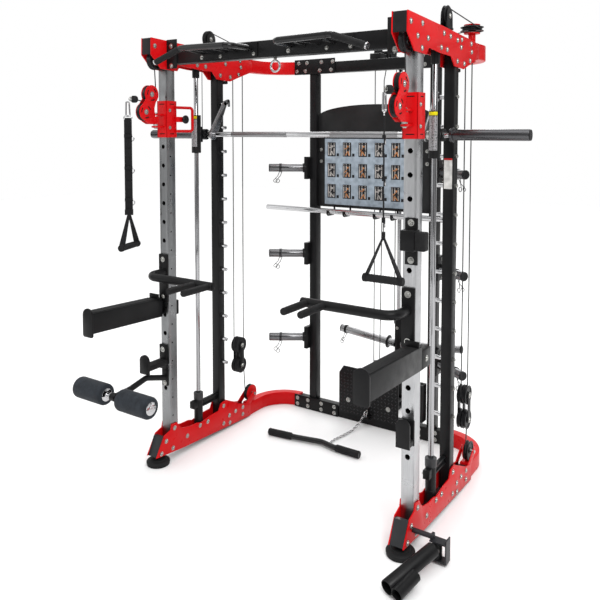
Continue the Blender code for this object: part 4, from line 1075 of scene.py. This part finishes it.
def make_cables():
    for name, side in SIDES:
        x = side * 0.7055
        blended_cable(f"front_cable_{name}", [(x, -0.058, 2.096), (x, -0.05, 1.968)])
        x = side * 0.72
        for y in (0.6, 0.692):
            blended_cable(f"lift_cable_{name}_{round(y * 1000)}", [(x, y, 2.125), (x, y, 0.46)])
        blended_cable(f"base_cable_{name}", [(x, 0.692, 0.335), (x - side * 0.009, 0.698, 0.134)])
        blended_cable(f"counter_cable_{name}", [(side * 0.706, 0.309, 2.13), (side * 0.706, 0.309, 1.8)],
                      0.002)
        block = Vector((side * 0.71, 0.375, 2.297))
        wheel = Vector((side * 0.7, 0.74, 2.283))
        start = block + Vector((0, 0.01, 0.0415))
        cable(f"roof_cable_{name}", [block + Vector((0, -0.03, 0.03)), block + Vector((0, -0.012, 0.04)),
                                     start,
                                     wheel + Vector((side * 0.046, -0.02, 0)),
                                     wheel + Vector((side * 0.0485, 0, 0))])
        cable(f"rear_cable_{name}", [wheel + Vector((0, 0.0485, 0)), wheel
                                     + Vector((-side * 0.03, 0.06, 0.002)),
                                     Vector((side * 0.047, 1.165, 2.285)),
                                     Vector((side * 0.047, 1.19, 2.2905))])
        cable(f"lat_cable_{name}", [(side * 0.047, 1.1475, 2.252), (side * 0.03, 1.115, 2.08),
                                    (side * 0.02, 1.1, 0.36)])
        blended_cable(f"tower_cable_{name}", [(side * 0.03, TOWER_Y, 2.172), (side * 0.03, TOWER_Y, 0.52)])
    shown("lat_ring", "root", [ring((0, 1.1, 0.345), BACK, 0.022, 0.004, "chrome"),
                               rod((0, 1.1, 0.368), (0, 1.1, 0.33), 0.004, "zinc")])


# ------------------------------------------------------------------ attachments
def make_dip_bar(name, side):
    route = rounded([(side * 0.702, -0.004, 1.026), (side * 0.702, -0.13, 1.026),
                     (side * 0.256, -0.13, 1.026)], 0.08, 12)
    parts = [box(pair(side, 0.677, 0.737), (-0.0125, -0.0003), (0.868, 1.122), "black", 0.002),
             tube(route, 0.021, "black", 32)]
    parts.append(turned([(0, 0), (0.0205, 0), (0.0205, 0.003), (0.0175, 0.004), (0, 0.004)],
                        (side * 0.26, -0.13, 1.026),
                        (-side, 0, 0), "plastic", 32))
    for z in (1.095, 0.895):
        parts.append(bolt((side * SIDE_X, -0.0125, z), FORWARD, 0.01))
    for x, end in ((0.37, -0.32), (0.282, -0.316)):
        grip = [(0, 0), (0.016, 0)]
        length = 0.1866 + end + 0.32
        for k in range(13):
            grip += [(0.0165, 0.026 + k * 0.011), (0.0154, 0.0315 + k * 0.011)]
        grip += [(0.0163, length - 0.01), (0.0145, length - 0.0015), (0, length)]
        parts.append(turned(grip, (side * x, end + length, 1.0254), FORWARD, "rubber", 32))
    shown(f"dip_handles_{name}", "root", parts, [f"dip_bar_{name}"])


def make_spotter_arm(name, side):
    outline = [(-0.476, 0.805), (-0.476, 0.905), (-0.0132, 0.886), (-0.0132, 0.786)]
    cap = wrapped([(side * 0.72, 0.798, 0.012), (side * 0.764, 0.798, 0.012), (side * 0.742, 0.892, 0.034)])
    parts = [sheet(outline, "x", side * 0.7105, side * 0.7745, "black", 0.002),
             sheet([(y, z + 0.0015) for y, z in ((-0.47, 0.9035), (-0.47, 0.9065), (-0.06, 0.8895),
                                                 (-0.06, 0.8865))], "x",
                   side * 0.714, side * 0.771, "rubber", 0.0005),
             sheet(cap, "y", -0.485, -0.4755, "black", 0.0015),
             box(pair(side, 0.7105, 0.7745), (-0.048, -0.038), (0.88, 0.912), "black", 0.002),
             box(pair(side, 0.7376, 0.775), (-0.014, 0.076), (0.787, 0.865), "black", 0.002),
             box(pair(side, 0.677, 0.7745), (0.0605, 0.0755), (0.7875, 0.8645), "black", 0.002),
             bolt((side * 0.775, 0.03, 0.826), (side, 0, 0), 0.009)]
    shown(f"safety_arm_{name}", "root", parts, [f"spotter_arm_{name}"])


def hook_lip(x, low, y, radius):
    """The rounded end plate of a bar catch."""
    centre = (x[0] + x[1]) / 2
    top = low[1] - radius
    outline = [(x[0], low[0]), (x[1], low[0])]
    outline += [(centre + radius * math.cos(a), top + radius * math.sin(a))
                for a in (math.radians(12 * k) for k in range(16))]
    return sheet(outline, "y", *y, "black", 0.002)


def make_j_hooks():
    left = [box((-0.742, -0.69), (-0.0105, -0.0003), (0.5, 0.632), "black", 0.002),
            box((-0.74, -0.682), (-0.15, -0.001), (0.528, 0.55), "black", 0.003),
            hook_lip((-0.742, -0.68), (0.512, 0.6125), (-0.1545, -0.1395), 0.031),
            box((-0.738, -0.684), (-0.139, -0.011), (0.5495, 0.5545), "rubber", 0.001),
            box((-0.738, -0.684), (-0.1395, -0.1355), (0.551, 0.585), "rubber", 0.001),
            bolt((-0.716, -0.0105, 0.606), FORWARD, 0.01)]
    shown("bar_catch_left", "root", left, ["j_hook_left"])
    right = [box((0.6765, 0.7395), (-0.0105, -0.0003), (0.452, 0.56), "black", 0.002),
             box((0.6785, 0.7375), (-0.05, -0.001), (0.456, 0.478), "black", 0.003),
             hook_lip((0.6765, 0.7395), (0.452, 0.577), (-0.056, -0.044), 0.0315),
             box((0.68, 0.736), (-0.044, -0.011), (0.4775, 0.4825), "rubber", 0.001),
             box((0.68, 0.736), (-0.0445, -0.0405), (0.48, 0.545), "rubber", 0.001),
             bolt((0.708, -0.0105, 0.538), FORWARD, 0.008)]
    shown("bar_catch_right", "root", right, ["j_hook_right"])


def make_upper_j_hook():
    parts = [box((0.69, 0.746), (-0.0105, -0.0003), (1.22, 1.416), "black", 0.002),
             box((0.6895, 0.754), (-0.06, -0.001), (1.284, 1.37), "black", 0.004),
             box((0.753, 0.8), (-0.058, -0.016), (1.288, 1.366), "rubber", 0.006),
             bolt((0.718, -0.0105, 1.397), FORWARD, 0.01), bolt((0.718, -0.0105, 1.24), FORWARD, 0.01)]
    shown("upper_bar_catch", "root", parts, ["upper_j_hook_right"])


def make_leg_rollers():
    x, y, z = -0.6875, -0.375, 0.47
    route = rounded([(-0.705, -0.0055, 0.452), (-0.705, -0.143, 0.492), (-0.7, -0.258, 0.47), (x, y, z)],
                    0.05)
    arm = [tube(route, 0.015, "black", 28), box((-0.7265, -0.685), (-0.008, -0.0003), (0.41, 0.498), "black",
                                                0.002),
           turned([(0.0082, 0), (0.019, 0), (0.0205, 0.0015), (0.0205, 0.0305), (0.019, 0.032),
                   (0.0082, 0.032)],
                  (x - 0.016, y, z), ACROSS, "black", 40), bolt((-0.705, -0.008, 0.425), FORWARD, 0.009)]
    shown("leg_holder", "root", arm, ["leg_arm"])
    parts = [rod((x - 0.262, y, z), (x + 0.262, y, z), 0.007, "chrome", 24)]
    for start in (x - 0.2545, x + 0.0525):
        foam = [(0.01, 0), (0.043, 0), (0.05, 0.0035), (0.0528, 0.011), (0.053, 0.03), (0.053, 0.172),
                (0.0528, 0.191), (0.05, 0.1985), (0.043, 0.202), (0.01, 0.202)]
        parts.append(turned(foam, (start, y, z), ACROSS, "foam", 64))
    for at, axis in ((x - 0.2545, -1), (x - 0.0525, 1), (x + 0.0525, -1), (x + 0.2545, 1)):
        cap = [(0, 0), (0.031, 0), (0.0315, 0.001), (0.027, 0.0026), (0.013, 0.004), (0.0115, 0.0068),
               (0, 0.007)]
        parts.append(turned(cap, (at, y, z), (axis, 0, 0), "chrome", 40))
    rollers = shown("foam_rollers", "leg_rollers", parts, ["leg_rollers"])


def make_landmine():
    x, y, z = 0.853, -0.022, 0.053
    pin = 0.1
    bend = [(math.cos(math.radians(a)), math.sin(math.radians(a))) for a in range(-90, 91, 15)]
    outer = [(0.827, 0.011)] + [(0.873 + 0.028 * c, 0.039 + 0.028 * n) for c, n in bend if n <= 0]
    outer += [(0.873 + 0.028 * c, 0.082 + 0.028 * n) for c, n in bend if n >= 0] + [(0.827, 0.11)]
    inner = [(0.827, 0.088)] + [(0.873 + 0.022 * c, 0.066 + 0.022 * n) for c, n in reversed(bend) if n >= 0]
    inner += [(0.873 + 0.022 * c, 0.039 + 0.022 * n) for c, n in reversed(bend) if n <= 0] + [(0.827, 0.017)]
    clevis = [rod((0.7438, y, pin), (0.834, y, pin), 0.0128, "black", 40),
              rod((0.7438, y, pin), (0.7475, y, pin), 0.02, "black"),
              rod((0.822, y, pin), (0.829, y, pin), 0.015, "black", 40),
              sheet(outer + inner, "y", y - 0.016, y + 0.016, "black", 0.002),
              turned([(0, 0), (0.0125, 0), (0.0125, 0.009), (0.011, 0.01), (0, 0.01)],
                     (0.901, y, pin - 0.006), ACROSS, "black", 6)]
    clevis.append(bolt((x, y, 0.11), UP, 0.012))
    near, far = Vector((0.858, -0.08, 0.084)), Vector((0.776, -0.332, 0.0365))
    along = (far - near).normalized()
    length = (far - near).length
    barrel = [(0, 0), (0.03, 0), (0.03, length - 0.002), (0.0285, length), (0.0265, length),
              (0.0262, length - 0.15),
              (0, length - 0.15)]
    second = Vector((0.848, -0.231, 0.056)), Vector((0.824, -0.348, 0.036))
    line = (second[1] - second[0]).normalized()
    reach = (second[1] - second[0]).length
    small = [(0, 0), (0.025, 0), (0.025, reach - 0.0015), (0.0238, reach), (0.0218, reach),
             (0.0215, reach - 0.1),
             (0, reach - 0.1)]
    parts = [turned(barrel, near, along, "black", 48), turned(small, second[0], line, "black", 44),
             # Near-black discs down inside the two tubes: painted shade for their deep bores.
             rod(far - along * 0.149, far - along * 0.147, 0.0262, "dark", 32, 0),
             rod(second[1] - line * 0.099, second[1] - line * 0.097, 0.0215, "dark", 32, 0),
             rod((x, y, z - 0.0345), (x, y, z + 0.0345), 0.021, "black"),
             rod((x, y, z), (0.858, -0.09, 0.074), 0.016, "black"),
             rod((x, y, z - 0.0355), (x, y, z + 0.0345), 0.008, "zinc")]
    shown("mine_tube", "landmine_tube", parts, ["landmine_tube"])


def make_floor_items():
    z = 0.0205
    route = rounded([(-0.42, 0.552, z), (-0.249, 0.573, z), (-0.09, 0.606, z), (-0.007, 0.587, z),
                     (0.161, 0.585, z)], 0.08)
    parts = [tube(route, 0.015, "gloss_black", 32)]
    for start, end in (((-0.42, 0.552, z), (-0.27, 0.5705, z)), ((0.161, 0.585, z), (0.012, 0.5868, z))):
        along = (Vector(end) - Vector(start)).normalized()
        grip = [(0, 0), (0.017, 0), (0.02, 0.003)]
        for k in range(12):
            grip += [(0.02, 0.012 + k * 0.0105), (0.0188, 0.0175 + k * 0.0105)]
        grip += [(0.0198, 0.142), (0.0165, 0.149), (0, 0.149)]
        parts.append(turned(grip, start, along, "rubber", 32))
    shown("floor_bar", "root", parts, ["curl_bar"])
    stops = [Vector(p) for p in ((-0.062, 0.63, 0.007), (-0.06, 0.69, 0.007), (-0.045, 0.77, 0.007),
                                 (-0.03, 0.85, 0.01),
                                 (-0.018, 0.9, 0.03), (-0.006, 0.94, 0.068), (0.0, 0.96, 0.095))]
    links = []
    pitch = 0.0145
    travelled = 0.0
    number = 0
    for start, end in zip(stops, stops[1:]):
        span = (end - start).length
        while travelled < span:
            at = start.lerp(end, travelled / span)
            along = (end - start).normalized()
            flat = Vector((0, 0, 1)) if number % 2 else along.cross(Vector((0, 0, 1))).normalized()
            lift = Vector((0, 0, 0.0015))
            links.append(ring(at + lift, flat, 0.0062, 0.0018, "chrome", 1.75, along))
            travelled += pitch
            number += 1
        travelled -= span
    shown("chain_links", "root", links, ["chain"])


def make_labels():
    shown("upright_label", "root", [box((0.69, 0.73), (0.4146, 0.4156), (1.507, 1.65), "label", 0.0002),
                                    box((0.69, 0.73), (0.4142, 0.415), (1.641, 1.65), "red_plastic",
                                        0.0002)])


# ------------------------------------------------------------------ camera, light and floor
def plain_square(name, half, shade, roughness):
    """A flat square in one grey."""
    material, _, shader = shader_of(name)
    preset(shader, Base_Color=(shade, shade, shade, 1), Roughness=roughness)
    bm = bmesh.new()
    bmesh.ops.create_grid(bm, x_segments=1, y_segments=1, size=half)
    return linked(name, bm, material)


# Each flag: bearing in degrees from straight in front towards +X, distance, width, lower and upper edge.
STUDIO_FLAGS = ((-62, 5.5, 2.4, 0.0, 4.6),
                (28, 6.0, 2.2, 0.9, 2.6),
                (84, 5.5, 2.6, 0.0, 4.6),
                (160, 5.5, 2.0, 0.5, 4.0),
                (238, 5.5, 2.2, 0.5, 4.0))


def make_stage():
    camera_data = bpy.data.cameras.new("camera")
    camera_data.sensor_width = 36
    camera_data.lens = 40.947
    camera_data.shift_x = 0.00777
    camera_data.shift_y = -0.21606
    camera = bpy.data.objects.new("camera", camera_data)
    camera.location = (1.8831, -2.6097 + FRONT_Y, 1.7721)
    camera.rotation_euler = (math.radians(86.774), 0, math.radians(33.8293))
    bpy.context.scene.collection.objects.link(camera)
    bpy.context.scene.camera = camera

    floor = plain_square("floor", 14, 0.9, roughness=0.85)
    floor.location = (0, 0, -0.0006)

    world = bpy.data.worlds.new("studio")
    world.use_nodes = True
    background = world.node_tree.nodes["Background"]
    preset(background, Strength=1.0)
    tree = world.node_tree
    coords = tree.nodes.new("ShaderNodeTexCoord")
    away = tree.nodes.new("ShaderNodeVectorMath")
    away.operation = "DOT_PRODUCT"
    away.inputs[1].default_value = (-0.55, 0.82, 0.1)
    tree.links.new(coords.outputs["Generated"], away.inputs[0])
    shade = spread(tree, away.outputs["Value"], 0.5, 1.0, -0.5, 0.75)
    tree.links.new(shade, background.inputs["Color"])
    bpy.context.scene.view_settings.view_transform = "Standard"
    bpy.context.scene.world = world
    for name, place, size, power in (("key", (3.4, -3.2, 4.4), 2.2, 150),
                                     ("fill", (-3.6, -2.8, 3.0), 3.0, 25),
                                     ("rim", (-1.5, 3.8, 3.8), 2.6, 70)):
        light_data = bpy.data.lights.new(name, "AREA")
        light_data.size = size
        light_data.energy = power
        light = bpy.data.objects.new(name, light_data)
        light.location = place
        aim = Vector((0, 0, 1.0)) - Vector(place)
        light.rotation_euler = aim.to_track_quat("-Z", "Y").to_euler()
        bpy.context.scene.collection.objects.link(light)

    sun_data = bpy.data.lights.new("overhead", "SUN")
    sun_data.energy = 1.35
    sun_data.angle = math.radians(60)
    sun = bpy.data.objects.new("overhead", sun_data)
    sun.rotation_euler = (math.radians(12), math.radians(8), 0)
    bpy.context.scene.collection.objects.link(sun)

    # Dark studio flags, seen only in reflections, that give polished metal its dark streaks.
    for number, (azimuth, distance, width, low, high) in enumerate(STUDIO_FLAGS):
        flag = plain_square(f"flag_{number}", 0.5, 0.01, roughness=0.5)
        a = math.radians(azimuth)
        place = Vector((math.sin(a) * distance, -math.cos(a) * distance, (low + high) / 2))
        facing = Vector((-math.sin(a), math.cos(a), 0)).to_track_quat("Z", "Y").to_matrix().to_4x4()
        flag.matrix_world = Matrix.Translation(place) @ facing @ Matrix.Diagonal((width, high - low, 1, 1))
        flag.visible_camera = False
        flag.visible_diffuse = False
        flag.visible_shadow = False


make_stage()
for side_name, sign in SIDES:
    make_base_side(side_name, sign)
    make_top_side(side_name, sign)
    make_front_upright(side_name, sign)
    make_mid_upright(side_name, sign)
    make_rear_upright(side_name, sign)
    make_guide_rod(side_name, sign)
    make_corners(side_name, sign)
    make_top_pulley_block(side_name, sign)
    make_pull_up_bar(side_name, sign)
    make_carriage(side_name, sign)
    make_strap(side_name, sign)
    make_floating_block(side_name, sign)
    make_dip_bar(side_name, sign)
    make_spotter_arm(side_name, sign)
make_cross_members()
make_info_panel()
make_rear_fittings()
make_smith_bar()
make_weight_carriage()
make_cables()
make_j_hooks()
make_upper_j_hook()
make_leg_rollers()
make_landmine()
make_floor_items()
make_labels()
